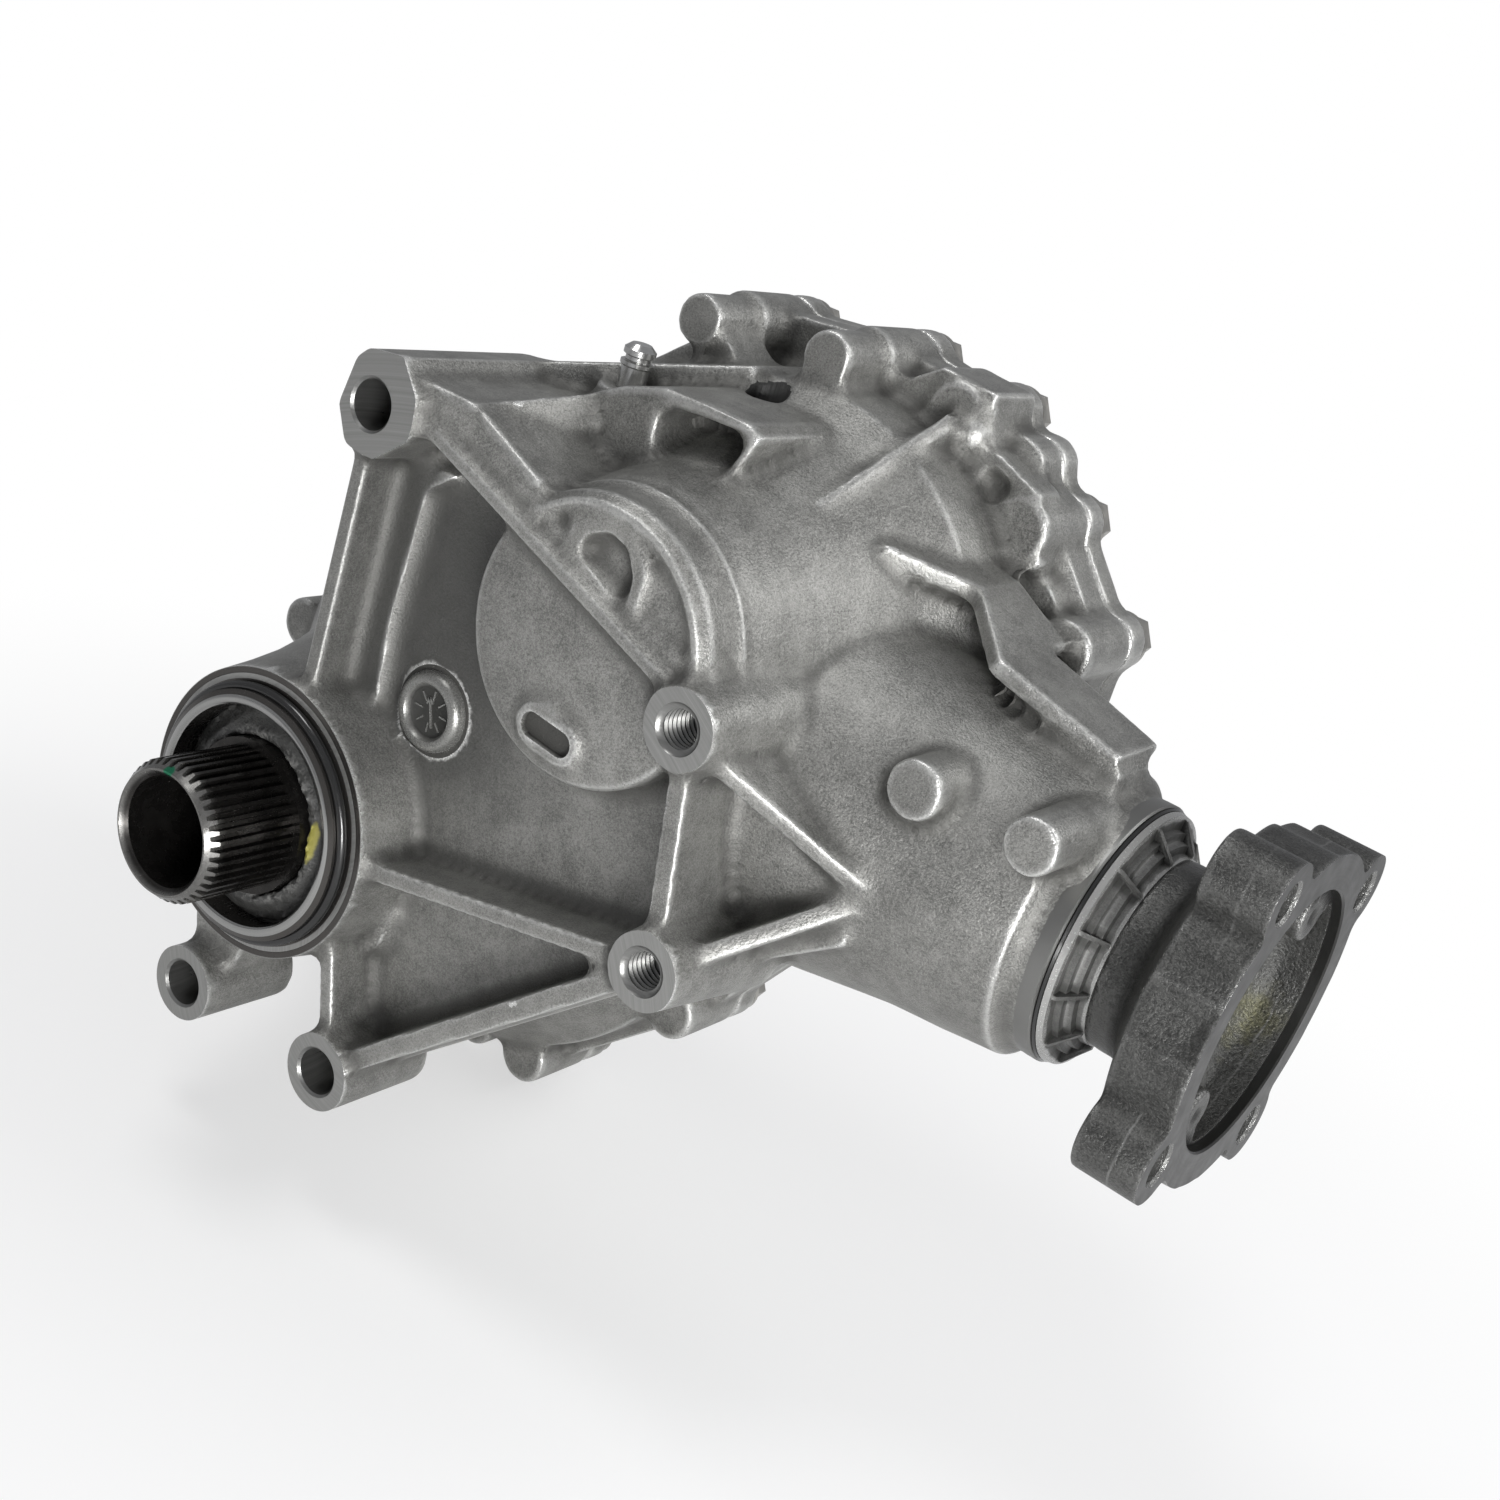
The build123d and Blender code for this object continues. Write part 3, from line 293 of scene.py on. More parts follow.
# each cast finish gives its colour, then its crest colour, rubbed bright with a painted highlight, then its
# crease colour, a painted shade
castAluminium = castFinish("cast aluminium", (0.226, 0.225, 0.213), (0.56, 0.56, 0.545),
                           (0.075, 0.074, 0.069), rough=0.42, metal=0.62, grit=0.00075, depth=0.00026,
                           contrast=1.25, pocketShade=pocketShadeLook)
dialAluminium = castFinish("cast date dial", (0.14, 0.139, 0.132), (0.21, 0.21, 0.2), (0.045, 0.045, 0.042),
                           rough=0.45, grit=0.0006, depth=0.0001)
shadedHole = castFinish("shaded hole", (0.03, 0.03, 0.029), (0.06, 0.06, 0.058), (0.015, 0.015, 0.014),
                        rough=0.6, metal=0.3)
coverAluminium = castFinish("cast aluminium cover", (0.226, 0.225, 0.213), (0.5, 0.5, 0.485),
                            (0.085, 0.084, 0.079), rough=0.45)
castIron = castFinish("rough cast iron", (0.070, 0.070, 0.067), (0.17, 0.17, 0.165), (0.016, 0.016, 0.015),
                      rough=0.38, metal=0.65, grit=0.001, depth=0.00045, contrast=1.6, smear=yellowSmear,
                      parting=0.2565)
dustGrey = castFinish("grey slinger metal", (0.13, 0.13, 0.125), (0.34, 0.34, 0.33), (0.08, 0.08, 0.076),
                      rough=0.42, grit=0.0007, depth=0.0001)

inputCentre, outputCentre = (0.0, 0.0, 0.0), (0.0, 0.0755, 0.0635)
pilotSteel = machinedFinish("pilot turned edge", (0.40, 0.40, 0.39), inputCentre, 1, 0.2, 0.95)
# oiled turned steel painted dark as shade, for the seats of the pilot ring and the seating face
oiledShadedSeat = machinedFinish("oiled pilot seat in painted shade", (0.085, 0.08, 0.075), inputCentre, 1, 0.24, 0.8)
milledAluminium = machinedFinish("milled aluminium", (0.30, 0.30, 0.29), (0.06, 0.0, -0.02), 1, 0.38, 0.7)
boredAluminium = machinedFinish("bored aluminium", (0.24, 0.24, 0.232), inputCentre, 0, 0.32, 0.85)
neckAluminium = machinedFinish("turned neck", (0.2, 0.2, 0.193), outputCentre, 0, 0.36, 0.75)
turnedIron = machinedFinish("turned iron", (0.042, 0.042, 0.04), outputCentre, 0, 0.38, 0.8)
shaftSteel = shaftFinish("oiled black shaft", shaftLook)
brightSteel = steelFinish("bright steel", (0.55, 0.55, 0.54), 0.22, 0.95)
zincSteel = steelFinish("zinc plated steel", (0.42, 0.41, 0.38), 0.32)
gearSteel = steelFinish("ground gear steel", (0.3, 0.3, 0.3))
blackRubber = rubberFinish("black rubber", (0.009, 0.009, 0.009), 0.2)
sealantPaste = rubberFinish("cured sealant", (0.03, 0.03, 0.03), 0.5)
sealRubber = rubberFinish("greasy seal rubber", (0.012, 0.0115, 0.011), 0.4)
sealFelt = feltFinish("felt and grease", feltLook)
print("finishes made")


# mesh helpers
def polar(middle, radius, degrees):
    # the place at a distance and angle from another, in one plane
    angle = math.radians(degrees)
    return (middle[0] + radius * math.cos(angle), middle[1] + radius * math.sin(angle))


def ringPoints(axis, centre, radius, at, count):
    # points in a circle square to an axis: 0 is x, 1 is y, 2 is z
    first, second = [i for i in range(3) if i != axis]
    points = []
    for step in range(count):
        angle = 2 * math.pi * step / count
        point = [0.0, 0.0, 0.0]
        point[axis] = at
        point[first] = centre[first] + radius * math.cos(angle)
        point[second] = centre[second] + radius * math.sin(angle)
        points.append(point)
    return points


def turned(bm, axis, centre, profile, count=64, closed=False):
    # revolve (radius, along) points; ends of radius 0 close to a point
    rows = []
    for radius, along in profile:
        points = ringPoints(axis, centre, radius, centre[axis] + along, count if radius else 1)
        rows.append([bm.verts.new([c * mm for c in p]) for p in points])
    pairs = list(zip(rows, rows[1:])) + ([(rows[-1], rows[0])] if closed else [])
    for low, high in pairs:
        for step in range(count):
            after = (step + 1) % count
            if len(low) == 1:
                bm.faces.new((low[0], high[step], high[after]))
            elif len(high) == 1:
                bm.faces.new((low[step], high[0], low[after]))
            else:
                bm.faces.new((low[step], high[step], high[after], low[after]))


def block(bm, first, second):
    # close the space between two outlines with equal numbers of corners
    bm.faces.new(first)
    bm.faces.new(list(reversed(second)))
    for i in range(len(first)):
        j = (i + 1) % len(first)
        bm.faces.new((first[i], second[i], second[j], first[j]))


def prism(bm, points, front, back):
    # a closed block from (x, z) points between two depths
    block(bm, *[[bm.verts.new((x * mm, y * mm, z * mm)) for x, z in points] for y in (front, back)])


def bar(bm, start, end, width, front, back):
    # a straight block of one width between two (x, z) places
    along = Vector((end[0] - start[0], end[1] - start[1])).normalized()
    side = Vector((-along[1], along[0])) * width / 2
    a, b = Vector(start), Vector(end)
    prism(bm, [tuple(a + side), tuple(b + side), tuple(b - side), tuple(a - side)], front, back)


def fin(bm, ends, depths, width, outward):
    # a thin straight web whose crest runs between two places, wider at its foot
    low, high, outward = Vector(ends[0]), Vector(ends[1]), Vector(outward).normalized()
    side = (high - low).cross(outward).normalized() * width / 2
    rows = [[p - side, p + side, p + side * 1.8 - outward * deep, p - side * 1.8 - outward * deep]
            for p, deep in zip((low, high), depths)]
    block(bm, *[[bm.verts.new(p * mm) for p in row] for row in rows])


def slotOutline(start, end, radius, count=16):
    # (x, z) points round a slot with round ends between two places
    along = math.atan2(end[1] - start[1], end[0] - start[0])
    points = []
    for (x, z), turnFrom in ((end, along - math.pi / 2), (start, along + math.pi / 2)):
        for step in range(count + 1):
            angle = turnFrom + math.pi * step / count
            points.append((x + radius * math.cos(angle), z + radius * math.sin(angle)))
    return points


def slab(bm, low, high):
    # a closed box between two corners
    made = bmesh.ops.create_cube(bm, size=1.0)
    for vert in made["verts"]:
        vert.co = Vector([(low[i] if vert.co[i] < 0 else high[i]) * mm for i in range(3)])


def across(bm, front, back):
    # a box that covers the whole case between two depths
    slab(bm, (-140, front, -140), (240, back, 220))


def finishMesh(bm, name, smoothAngle=None):
    # a mesh with outward faces, smooth up to an angle
    bmesh.ops.recalc_face_normals(bm, faces=bm.faces)
    mesh = bpy.data.meshes.new(name)
    bm.to_mesh(mesh)
    bm.free()
    if smoothAngle:
        mesh.shade_smooth()
        mesh.set_sharp_from_angle(angle=math.radians(smoothAngle))
    return mesh


def newPiece(name, mesh, body, finishes):
    # a visible piece that rides on a body
    piece = bpy.data.objects.new(name, mesh)
    scene.collection.objects.link(piece)
    for finish in finishes:
        piece.data.materials.append(finish)
    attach(piece, body)
    return piece


def temporary(mesh):
    # an object to work on
    piece = bpy.data.objects.new("work", mesh)
    scene.collection.objects.link(piece)
    return piece


def modify(piece, kind, **settings):
    # add one modifier
    step = piece.modifiers.new(kind.lower(), kind)
    for key, value in settings.items():
        setattr(step, key, value)


def applyAll(piece):
    # give the piece the mesh that its modifiers make
    view = bpy.context.evaluated_depsgraph_get()
    mesh = bpy.data.meshes.new_from_object(piece.evaluated_get(view))
    piece.modifiers.clear()
    old = piece.data
    piece.data = mesh
    bpy.data.meshes.remove(old)


def softened(source, stock, shape):
    # merge a solid with its added forms, fill inner corners by growing and shrinking, relax the edges
    bm = bmesh.new()
    bm.from_mesh(source)
    if stock:
        stock(bm)
    piece = temporary(finishMesh(bm, "stock"))
    for growth in (shape["fillet"], -shape["fillet"]):
        modify(piece, "REMESH", mode="VOXEL", voxel_size=shape["voxel"] * mm)
        modify(piece, "DISPLACE", mid_level=0.0, strength=growth * mm)
    modify(piece, "SMOOTH", factor=0.5, iterations=shape["relax"])
    modify(piece, "DECIMATE", ratio=shape["keep"])
    applyAll(piece)
    return piece


def machine(piece, tools):
    # cut away closed tools, as a mill or lathe would
    for drawTool in tools:
        bm = bmesh.new()
        drawTool(bm)
        tool = temporary(finishMesh(bm, "tool"))
        modify(piece, "BOOLEAN", operation="DIFFERENCE", solver="MANIFOLD", object=tool)
        applyAll(piece)
        bpy.data.objects.remove(tool)


def paintFaces(piece, rules):
    # give each face the finish of the first rule that it meets
    for face in piece.data.polygons:
        centre = face.center / mm
        for finish, rule in rules:
            if rule(centre, face.normal):
                face.material_index = finish
                break


def casting(name, source, stock, tools, shape, finishes, rules):
    # a casting with soft edges and crisp machined faces, made from its solid
    piece = softened(nodes[source].data, stock, shape)
    machine(piece, tools())
    piece.name = name
    piece.data.materials.clear()
    for finish in finishes:
        piece.data.materials.append(finish)
    paintFaces(piece, rules())
    piece.data.shade_smooth()
    piece.data.set_sharp_from_angle(angle=math.radians(38))
    print(name + ":", len(piece.data.polygons), "faces")
    return piece


# the main case; places of bosses are (x, z)
caseShape = {"voxel": 1.05, "fillet": 2.2, "relax": 5, "keep": 0.5, "joint": 130.0}
bosses = {"upper": (7.6, 124.4), "lower": [(44.7, -60.6), (-13.5, -64.3)],
          "threaded": [(126.8, 87.4), (137.5, 25.7)], "hole": 6.75, "chamfer": 7.5, "holeDepth": 62.0,
          "plug": [(0, 1), (8.5, 1), (8.5, 30), (0, 30)],
          "lowerPad": [(0, -3), (11.4, -3), (11.4, 4), (0, 4)],
          "threadedPad": [(0, -3), (10.3, -3), (10.6, 4), (0, 4)],
          "upperFace": [(-3.5, 121), (-0.7, 134.5), (3, 138.2), (14.9, 140), (22.4, 131), (22.8, 120),
                        (12.2, 111), (1.5, 112)]}
throughBosses = [bosses["upper"]] + bosses["lower"]
thread = {"radius": 5.1, "depth": 21.0, "pitch": 1.75, "bite": 0.95}
inputSeat = {"stock": [(0, -6), (41.9, -2), (41.9, 3), (34, 14), (0, 14)], "radius": 36.02, "depth": 46.5,
             "bore": [(0, -3), (31.9, -3), (31.9, 14), (29.5, 14), (29.5, 28), (36.02, 28), (36.02, 46.5),
                      (0, 46.5)]}
horn = {"centre": (89, 0, 92.6), "bead": [(36, 17.6), (39.0, 17.8), (40.3, 19.4), (39.4, 21.4), (36, 21.6)],
        "jointFill": [(56, 107), (66, 112.5), (68.3, 116), (68.3, 130), (56, 130)]}
slot = {"rim": [(81.5, 66), (90.5, 65.2)], "rimRadius": 6.1, "rimDepths": (5.2, 12),
        "cut": [(81, 66), (91, 65.2)], "cutRadius": 3.5, "cutDepths": (3, 7.4)}
pocketSteps = [[(5, 112), (28, 112), (19, 104.5), (18.2, 87), (17.2, 66), (19, 44), (5, 38)],
               [(33, -8), (44, -12), (42, -24), (36, -33), (41, -44), (52, -52), (36, -56), (30, -30)]]
jointCells = [[(124, 143), (130, 156), (146, 150), (153, 133), (136, 134)],
              [(148, 136), (159, 127), (170, 115), (171, 104), (160, 98), (146, 112)]]
flankFin = {"ends": ((113.2, 54, 137.0), (117.8, 100, 163.0)), "depths": (5, 14), "width": 2.4,
            "outward": (0.4, -0.45, 0.8)}
flankBall = {"centre": (121.6, 0, 158.8),
             "profile": [(0, 100.6), (3, 101), (5.2, 103), (6.4, 106), (6.6, 109), (6.4, 122), (0, 122)]}
dimpleFill = {"centre": (131, 0, 148),
              "profile": [(0, 107.5), (5.6, 107.5), (6.2, 109), (6.2, 122), (0, 122)]}
strutWeb = [(126, 78), (172, 60), (139, 34)]
shelfHole = {"centre": (74, 77, 0), "radius": 5.6, "from": 144, "to": 170}
dial = {"centre": (37.0, 0, 47.0), "seat": 13.0, "seatDepth": 19.95, "ticks": 8, "tickReach": (3.2, 6.1),
        "tickWidth": 0.4, "pointer": 110.0, "pointerReach": (-4.6, 4.1), "pointerWidth": 0.6,
        "headLength": 2.2, "headAngle": 150, "headWidth": 0.55,
        "profile": [(0, 18.9), (6.6, 18.9), (7.1, 18.6), (7.5, 17.4), (8.2, 16.6), (9.2, 16.4), (10.1, 16.7),
                    (10.9, 17.4), (11.5, 18.6), (11.7, 20.3), (0, 20.4)]}
outputLine = (0.0, 75.5, 63.5)
neck = {"end": 220.0, "bore": 31.05, "collarStart": 216.6, "collarRadius": 36.3}


def bossStock(bm):
    # plugs in the old holes, and pads that stand proud until the face is cut
    for x, z in throughBosses + bosses["threaded"]:
        turned(bm, 1, (x, 0, z), bosses["plug"], 32)
    turned(bm, 1, (0, 0, 0), inputSeat["stock"], 96)
    for x, z in bosses["threaded"]:
        turned(bm, 1, (x, 0, z), bosses["threadedPad"], 64)
    for x, z in bosses["lower"]:
        turned(bm, 1, (x, 0, z), bosses["lowerPad"], 64)
    prism(bm, bosses["upperFace"], -3, 4)


def pocketStock(bm):
    # inner steps of the pockets, the bead round the horn and the rim of the slot
    prism(bm, pocketSteps[0], 16.4, 22)
    prism(bm, pocketSteps[1], 16.5, 22)
    turned(bm, 1, horn["centre"], horn["bead"], 160, closed=True)
    prism(bm, slotOutline(*slot["rim"], slot["rimRadius"]), *slot["rimDepths"])


def flankStock(bm):
    # the steps beside the joint, the fin, the ball at its end and a filled dimple
    turned(bm, 1, horn["centre"], horn["jointFill"], 96, closed=True)
    for outline in jointCells:
        prism(bm, outline, 109, 130)
    fin(bm, flankFin["ends"], flankFin["depths"], flankFin["width"], flankFin["outward"])
    turned(bm, 1, flankBall["centre"], flankBall["profile"], 48)
    turned(bm, 1, dimpleFill["centre"], dimpleFill["profile"], 32)


def caseStock(bm):
    bossStock(bm)
    pocketStock(bm)
    flankStock(bm)
    prism(bm, strutWeb, 30, 44)


def threadProfile(radius, depth, pitch, bite):
    # a bore with one groove for every turn of its thread
    profile = [(0, -3), (radius + 1.6, -3), (radius + 1.6, 0), (radius + 0.9, 0.8)]
    at = 0.9
    while at < depth - pitch:
        profile += [(radius, at + pitch * 0.1), (radius, at + pitch * 0.3), (radius + bite, at + pitch * 0.6),
                    (radius + bite, at + pitch * 0.75)]
        at += pitch
    return profile + [(radius, depth), (0, depth + 2)]


def caseTools():
    def frontFace(bm):
        across(bm, -20, 0)

    def jointFace(bm):
        across(bm, caseShape["joint"], caseShape["joint"] + 30)

    def throughHoles(bm):
        wide, hole, deep = bosses["chamfer"], bosses["hole"], bosses["holeDepth"]
        profile = [(0, -3), (wide, -3), (wide, 0), (hole, 0.7), (hole, deep), (0, deep)]
        for x, z in throughBosses:
            turned(bm, 1, (x, 0, z), profile, 64)

    def threads(bm):
        for x, z in bosses["threaded"]:
            turned(bm, 1, (x, 0, z), threadProfile(**thread), 64)

    def inputBore(bm):
        turned(bm, 1, (0, 0, 0), inputSeat["bore"], 128)

    def neckEdge(bm):
        slab(bm, (neck["end"], 20, 5), (neck["end"] + 20, 130, 125))

    def neckBore(bm):
        past = neck["end"] + 3
        turned(bm, 0, outputLine, [(0, 203), (neck["bore"], 203), (neck["bore"], past), (0, past)], 96)

    def slotCut(bm):
        prism(bm, slotOutline(*slot["cut"], slot["cutRadius"]), *slot["cutDepths"])

    def shelfBore(bm):
        radius, low, high = shelfHole["radius"], shelfHole["from"], shelfHole["to"]
        turned(bm, 2, shelfHole["centre"], [(0, low), (radius, low), (radius, high), (0, high)], 64)

    def dialSeat(bm):
        radius, deep = dial["seat"], dial["seatDepth"]
        turned(bm, 1, dial["centre"], [(0, 12), (radius, 12), (radius, deep), (0, deep)], 64)

    return [frontFace, jointFace, throughHoles, threads, inputBore, neckEdge, neckBore, slotCut, shelfBore,
            dialSeat]


def caseRules():
    def milled(centre, normal):
        return normal.y < -0.98 and abs(centre.y) < 0.02

    def joint(centre, normal):
        return normal.y > 0.98 and abs(centre.y - caseShape["joint"]) < 0.02

    def inHole(centre, places, radius, depth):
        return centre.y < depth and any(math.hypot(centre.x - x, centre.z - z) < radius for x, z in places)

    def bored(centre, normal):
        return (inHole(centre, throughBosses, bosses["chamfer"] + 0.1, bosses["holeDepth"] + 0.1)
                or inHole(centre, bosses["threaded"], thread["radius"] + 1.9, thread["depth"] + 1))

    def inner(centre, normal):
        return inHole(centre, [(0, 0)], inputSeat["radius"] + 0.48, inputSeat["depth"] + 0.5)

    def through(centre, normal):
        x, y, z = shelfHole["centre"]
        away = math.hypot(centre.x - x, centre.y - y)
        return away < shelfHole["radius"] + 0.3 and centre.z > shelfHole["from"] - 6

    return [(1, milled), (1, joint), (2, bored), (2, inner), (3, through)]


case = casting("caseCasting", "main_case", caseStock, caseTools, caseShape,
               [castAluminium, milledAluminium, boredAluminium, shadedHole], caseRules)
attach(case, "housing")
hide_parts("main_case")

# the turned pilot ring in front of the seating face; its edge is bright, its seats are oiled and painted dark
# as shade
pilot = {"profile": [(31.9, -4.9), (32.4, -5.4), (32.9, -5.5), (33.9, -5.45), (34.5, -5.1), (36, -4.4),
                     (36, -3.45), (35.9, -3.4), (35, -3.4), (35, -0.2), (36, -0.2), (36, 0.7), (34, 2),
                     (34, 13.9), (31.88, 13.9)],
         "seat": [(36.0, -0.06), (38.4, -0.06), (38.9, 0.25), (39.6, 0.25), (40.1, -0.06), (41.7, -0.06),
                  (41.95, 0.12), (41.9, 0.6), (36.0, 0.6)],
         "steps": 160, "shadeOutside": 34.45, "shadeInside": 32.3}


# the faces of the ring that get the dark copy, as painted shade
def oiledShadedPilot(centre, normal):
    away = math.hypot(centre.x, centre.z)
    return away > pilot["shadeOutside"] or (away < pilot["shadeInside"] and centre.y > -5.0)


pilotMesh = bmesh.new()
turned(pilotMesh, 1, (0, 0, 0), pilot["profile"], pilot["steps"], closed=True)
pilotPiece = newPiece("pilotRing", finishMesh(pilotMesh, "pilotRing", 30), "housing",
                      [pilotSteel, oiledShadedSeat])
paintFaces(pilotPiece, [(1, oiledShadedPilot)])

seatMesh = bmesh.new()
turned(seatMesh, 1, (0, 0, 0), pilot["seat"], pilot["steps"], closed=True)
newPiece("pilotSeat", finishMesh(seatMesh, "pilotSeat", 30), "housing", [oiledShadedSeat])

# the date dial on the pocket floor: a round lip, a disc, ticks and a pointer
dialMesh = bmesh.new()
dialMiddle = (dial["centre"][0], dial["centre"][2])
turned(dialMesh, 1, dial["centre"], dial["profile"], 96)
for k in range(dial["ticks"]):
    near, far = [polar(dialMiddle, radius, 360 * k / dial["ticks"]) for radius in dial["tickReach"]]
    bar(dialMesh, near, far, dial["tickWidth"], 18.6, 19.2)
tail, tip = [polar(dialMiddle, radius, dial["pointer"]) for radius in dial["pointerReach"]]
bar(dialMesh, tail, tip, dial["pointerWidth"], 18.4, 19.2)
for side in (-1, 1):
    barb = polar(tip, dial["headLength"], dial["pointer"] + side * dial["headAngle"])
    bar(dialMesh, barb, tip, dial["headWidth"], 18.4, 19.2)
newPiece("dateDial", finishMesh(dialMesh, "dateDial", 35), "housing", [dialAluminium])

# a ring of felt and dry grease beside the shaft; each wave is its turns, its lean and its height
felt = {"profile": [(22.9, 4.6), (22.9, -0.8), (23.6, -1.5), (24.6, -1.6), (25.8, -1.2), (26.8, -0.3),
                    (28.0, 0.4), (29.2, 1.2), (30.4, 1.6), (31.4, 2.4), (31.6, 4.6)],
        "waves": [(7, 1.0, 0.3), (17, 2.3, 0.3), (37, -3.1, 0.22)], "flatBehind": 3.5}
feltMesh = bmesh.new()
turned(feltMesh, 1, (0, 0, 0), felt["profile"], 180, closed=True)
for vert in feltMesh.verts:
    angle, radius = math.atan2(vert.co.z, vert.co.x), math.hypot(vert.co.x, vert.co.z) / mm
    if vert.co.y < felt["flatBehind"] * mm:
        vert.co.y += sum(height * math.sin(turns * angle + lean * radius)
                         for turns, lean, height in felt["waves"]) * mm
newPiece("feltRing", finishMesh(feltMesh, "feltRing", 60), "housing", [sealFelt])

# the black lip between the neck and the slinger
lip = {"inner": 33.0, "outer": 35.6, "crest": 35.9, "start": 0.06, "middle": 0.5, "end": 1.2}
lipStart, lipMiddle, lipEnd = [neck["end"] + lip[key] for key in ("start", "middle", "end")]
lipMesh = bmesh.new()
turned(lipMesh, 0, outputLine, [(lip["inner"], lipStart), (lip["outer"], lipStart), (lip["crest"], lipMiddle),
                                (lip["outer"], lipEnd), (lip["inner"], lipEnd)], 128, closed=True)
newPiece("neckLip", finishMesh(lipMesh, "neckLip", 30), "housing", [blackRubber])

# the turned collar at the end of the neck
collarMesh = bmesh.new()
rim, foot, front = neck["collarRadius"] + 0.1, neck["collarStart"] - 1.5, neck["end"] + 0.04
turned(collarMesh, 0, outputLine, [(31.2, neck["end"]), (31.5, front), (35.9, front),
                                   (rim, neck["end"] - 0.4), (rim, neck["collarStart"] + 0.4),
                                   (neck["collarRadius"], foot), (31.2, foot)], 128, closed=True)
newPiece("neckCollar", finishMesh(collarMesh, "neckCollar", 30), "housing", [neckAluminium])
print("case dressed")

# the rear cover
coverShape = {"voxel": 1.4, "fillet": 2.0, "relax": 5, "keep": 0.45, "front": 130.8}


def coverTools():
    def jointFace(bm):
        across(bm, 110, coverShape["front"])

    return [jointFace]


def coverRules():
    def joint(centre, normal):
        return normal.y < -0.98 and abs(centre.y - coverShape["front"]) < 0.02

    return [(1, joint)]


cover = casting("coverCasting", "rear_cover", None, coverTools, coverShape, [coverAluminium, milledAluminium],
                coverRules)
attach(cover, "housing")
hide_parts("rear_cover")

# the output flange
flangeShape = {"voxel": 0.85, "fillet": 1.6, "relax": 5, "keep": 0.6, "face": 264.0, "circle": 48.0,
               "firstHole": 35.0, "lobe": 10.45, "lobeBack": 248.0, "hole": 5.25, "chamfer": 6.0,
               "bowl": 35.9, "rim": (34.0, 45.5)}
flangeHoles = [(0, *polar(outputLine[1:], flangeShape["circle"], flangeShape["firstHole"] + 90 * k))
               for k in range(4)]


def flangeStock(bm):
    lobe, back, past = flangeShape["lobe"], flangeShape["lobeBack"], flangeShape["face"] + 2
    for place in flangeHoles:
        turned(bm, 0, place, [(0, back), (lobe, back), (lobe, past), (0, past)], 48)
    near, far = flangeShape["rim"]
    turned(bm, 0, outputLine, [(near, past - 3), (near, past), (far, past), (far, past - 3)], 96, closed=True)


def flangeTools():
    flat, hole, wide, bowlRadius = [flangeShape[key] for key in ("face", "hole", "chamfer", "bowl")]

    def face(bm):
        slab(bm, (flat, 0, -20), (flat + 16, 160, 150))

    def holes(bm):
        for place in flangeHoles:
            turned(bm, 0, place, [(0, 240), (hole, 240), (hole, flat - 0.8), (wide, flat), (wide, flat + 4),
                                  (0, flat + 4)], 48)

    def bowl(bm):
        turned(bm, 0, outputLine, [(0, flat + 4), (bowlRadius + 0.5, flat + 4), (bowlRadius + 0.5, flat),
                                   (bowlRadius, flat - 0.5), (bowlRadius, flat - 3), (0, flat - 3)], 128)

    return [face, holes, bowl]


def flangeRules():
    def face(centre, normal):
        return normal.x > 0.98 and abs(centre.x - flangeShape["face"]) < 0.02

    def bowl(centre, normal):
        away = math.hypot(centre.y - outputLine[1], centre.z - outputLine[2])
        return abs(away - flangeShape["bowl"]) < 0.6 and centre.x > flangeShape["face"] - 3.1

    return [(1, face), (1, bowl)]


flange = casting("flangeForging", "output_flange", flangeStock, flangeTools, flangeShape,
                 [castIron, turnedIron], flangeRules)
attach(flange, "output")
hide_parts("output_flange")

# pieces that keep their solid shape; bearings are bright and the rest are gear steel
plain = {
    "input_shaft": shaftSteel, "input_seal": sealRubber, "pilot_o_ring": blackRubber,
    "halfshaft_seal": blackRubber, "pinion_seal": blackRubber, "slinger_ring": dustGrey,
    "breather": brightSteel, "cover_dowels": brightSteel, "cover_bolts": zincSteel, "fill_plug": zincSteel,
    "drain_plug": zincSteel, "pinion_nut": zincSteel, "cover_sealant": sealantPaste,
}
for name, node in nodes.items():
    if name not in ("main_case", "rear_cover", "output_flange"):
        node.data.materials.clear()
        node.data.materials.append(plain.get(name, brightSteel if "bearing" in name else gearSteel))
print("solid pieces finished")

# light, floor and camera, in metres; a light is its place, target, size and power
middle = (0.09, 0.06, 0.04)  # of the part
lights = {"key": ((-0.25, -0.25, 1.15), middle, 0.45, 5.0), "side": ((1.1, -0.8, 0.12), middle, 0.5, 17.5),
          "low": ((0.66, -0.62, -0.04), (0.2, 0.05, 0.02), 0.14, 1.5),
          "rim": ((0.9, 0.5, 0.8), middle, 0.6, 5.0)}
studio = {"world": 0.35, "worldColour": (0.95, 0.96, 1.0), "floorZ": -0.1075, "floorSize": 40,
          "floorGlow": 0.55, "glowFade": (0.2, 0.5), "paper": (0.9, 0.9, 0.9),
          "paperLight": (0.93, 0.93, 0.93)}
# the camera that the holes and the flange of the photo fit
view = {"place": (0.3664, -0.3790, 0.2573), "right": (0.7696, 0.5700, 0.2878),
        "up": (-0.4345, 0.1371, 0.8902), "ahead": (-0.4679, 0.8101, -0.3532), "lens": 48.31, "sensor": 36.0}

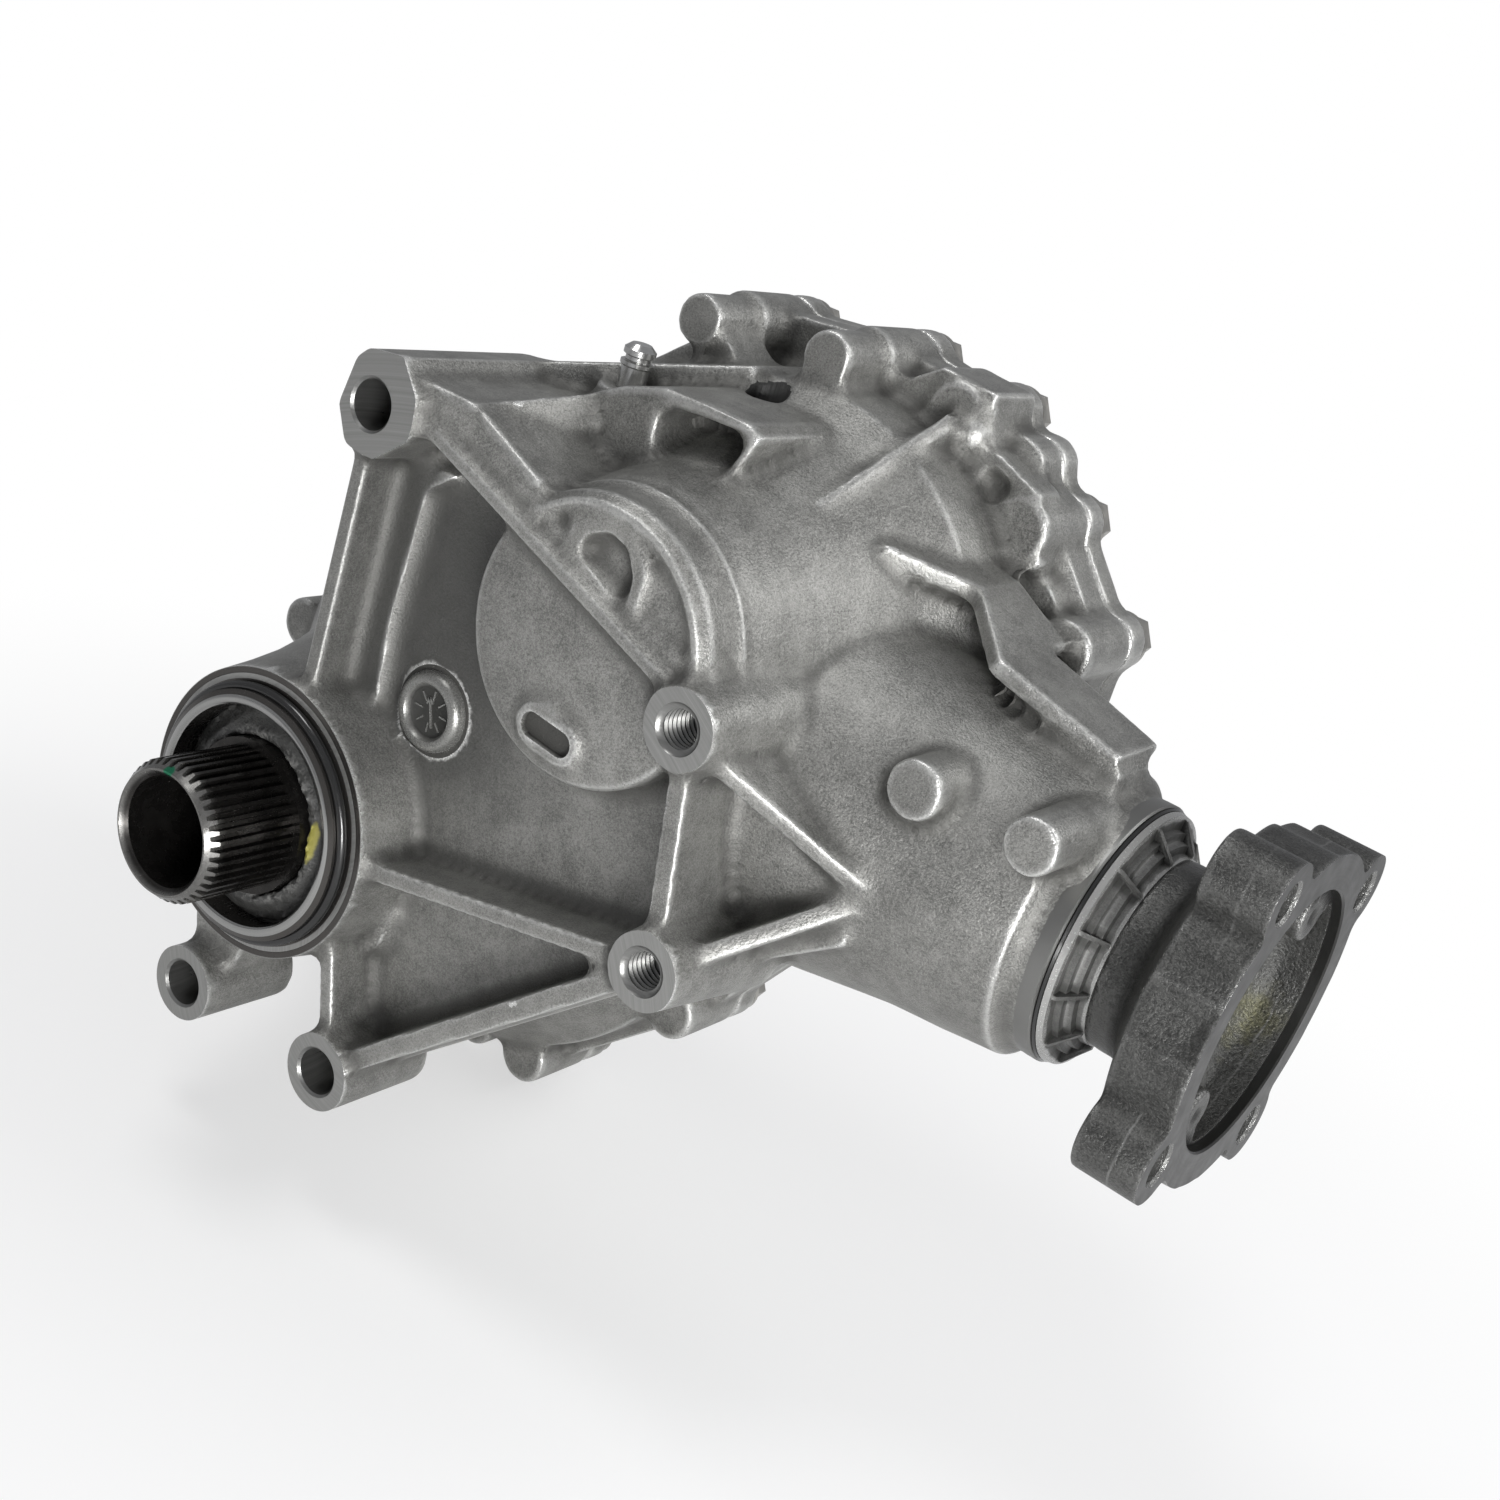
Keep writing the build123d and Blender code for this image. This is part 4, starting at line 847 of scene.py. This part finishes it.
for name, (place, target, size, power) in lights.items():
    lamp = bpy.data.lights.new(name, "AREA")
    lamp.shape, lamp.size, lamp.size_y, lamp.energy = "RECTANGLE", size, size * 0.7, power
    lampObject = bpy.data.objects.new(name, lamp)
    lampObject.location = place
    lampObject.rotation_euler = (Vector(target) - Vector(place)).to_track_quat("-Z", "Y").to_euler()
    scene.collection.objects.link(lampObject)

# the world lights softly and looks white to the camera
scene.world = bpy.data.worlds.new("studio")
scene.world.use_nodes = True
sky = Graph(scene.world.node_tree)
soft = sky.node("ShaderNodeBackground", values={"Color": studio["worldColour"], "Strength": studio["world"]})
white = sky.node("ShaderNodeBackground", values={"Color": (1, 1, 1), "Strength": 1.0})
seen = sky.node("ShaderNodeLightPath", output="Is Camera Ray")
sky.node("ShaderNodeOutputWorld", values={"Surface": sky.node("ShaderNodeMixShader",
                                                              values={0: seen, 1: soft, 2: white})})

# paper that keeps its shadow near the part and fades to white away from it
paper = Finish("paper")
paper.set(colour=paper.mix(paper.grain(0.4, 2), studio["paper"], studio["paperLight"]), rough=0.9)
away = paper.fade(paper.distance(), *studio["glowFade"])
seen = paper.node("ShaderNodeLightPath", output="Is Camera Ray")
share = (away * (1 - studio["floorGlow"]) + studio["floorGlow"]) * seen
glow = paper.node("ShaderNodeEmission", values={"Strength": 1.0})
paper.put(paper.out.inputs["Surface"],
          paper.node("ShaderNodeMixShader", values={0: share, 1: paper.shader, 2: glow}))
floorMesh = bmesh.new()
bmesh.ops.create_grid(floorMesh, x_segments=1, y_segments=1, size=studio["floorSize"])
floor = bpy.data.objects.new("floor", finishMesh(floorMesh, "floor"))
floor.location = (middle[0], middle[1], studio["floorZ"])
floor.data.materials.append(paper.material)
scene.collection.objects.link(floor)

camera = bpy.data.objects.new("camera", bpy.data.cameras.new("camera"))
camera.data.lens, camera.data.sensor_width = view["lens"], view["sensor"]
right, up, ahead = Vector(view["right"]), Vector(view["up"]), Vector(view["ahead"])
turn = Matrix((right, up, -ahead)).transposed().to_4x4()
camera.matrix_world = Matrix.Translation(Vector(view["place"])) @ turn
scene.collection.objects.link(camera)
scene.camera = camera
scene.view_settings.view_transform = "Standard"
print("studio ready")
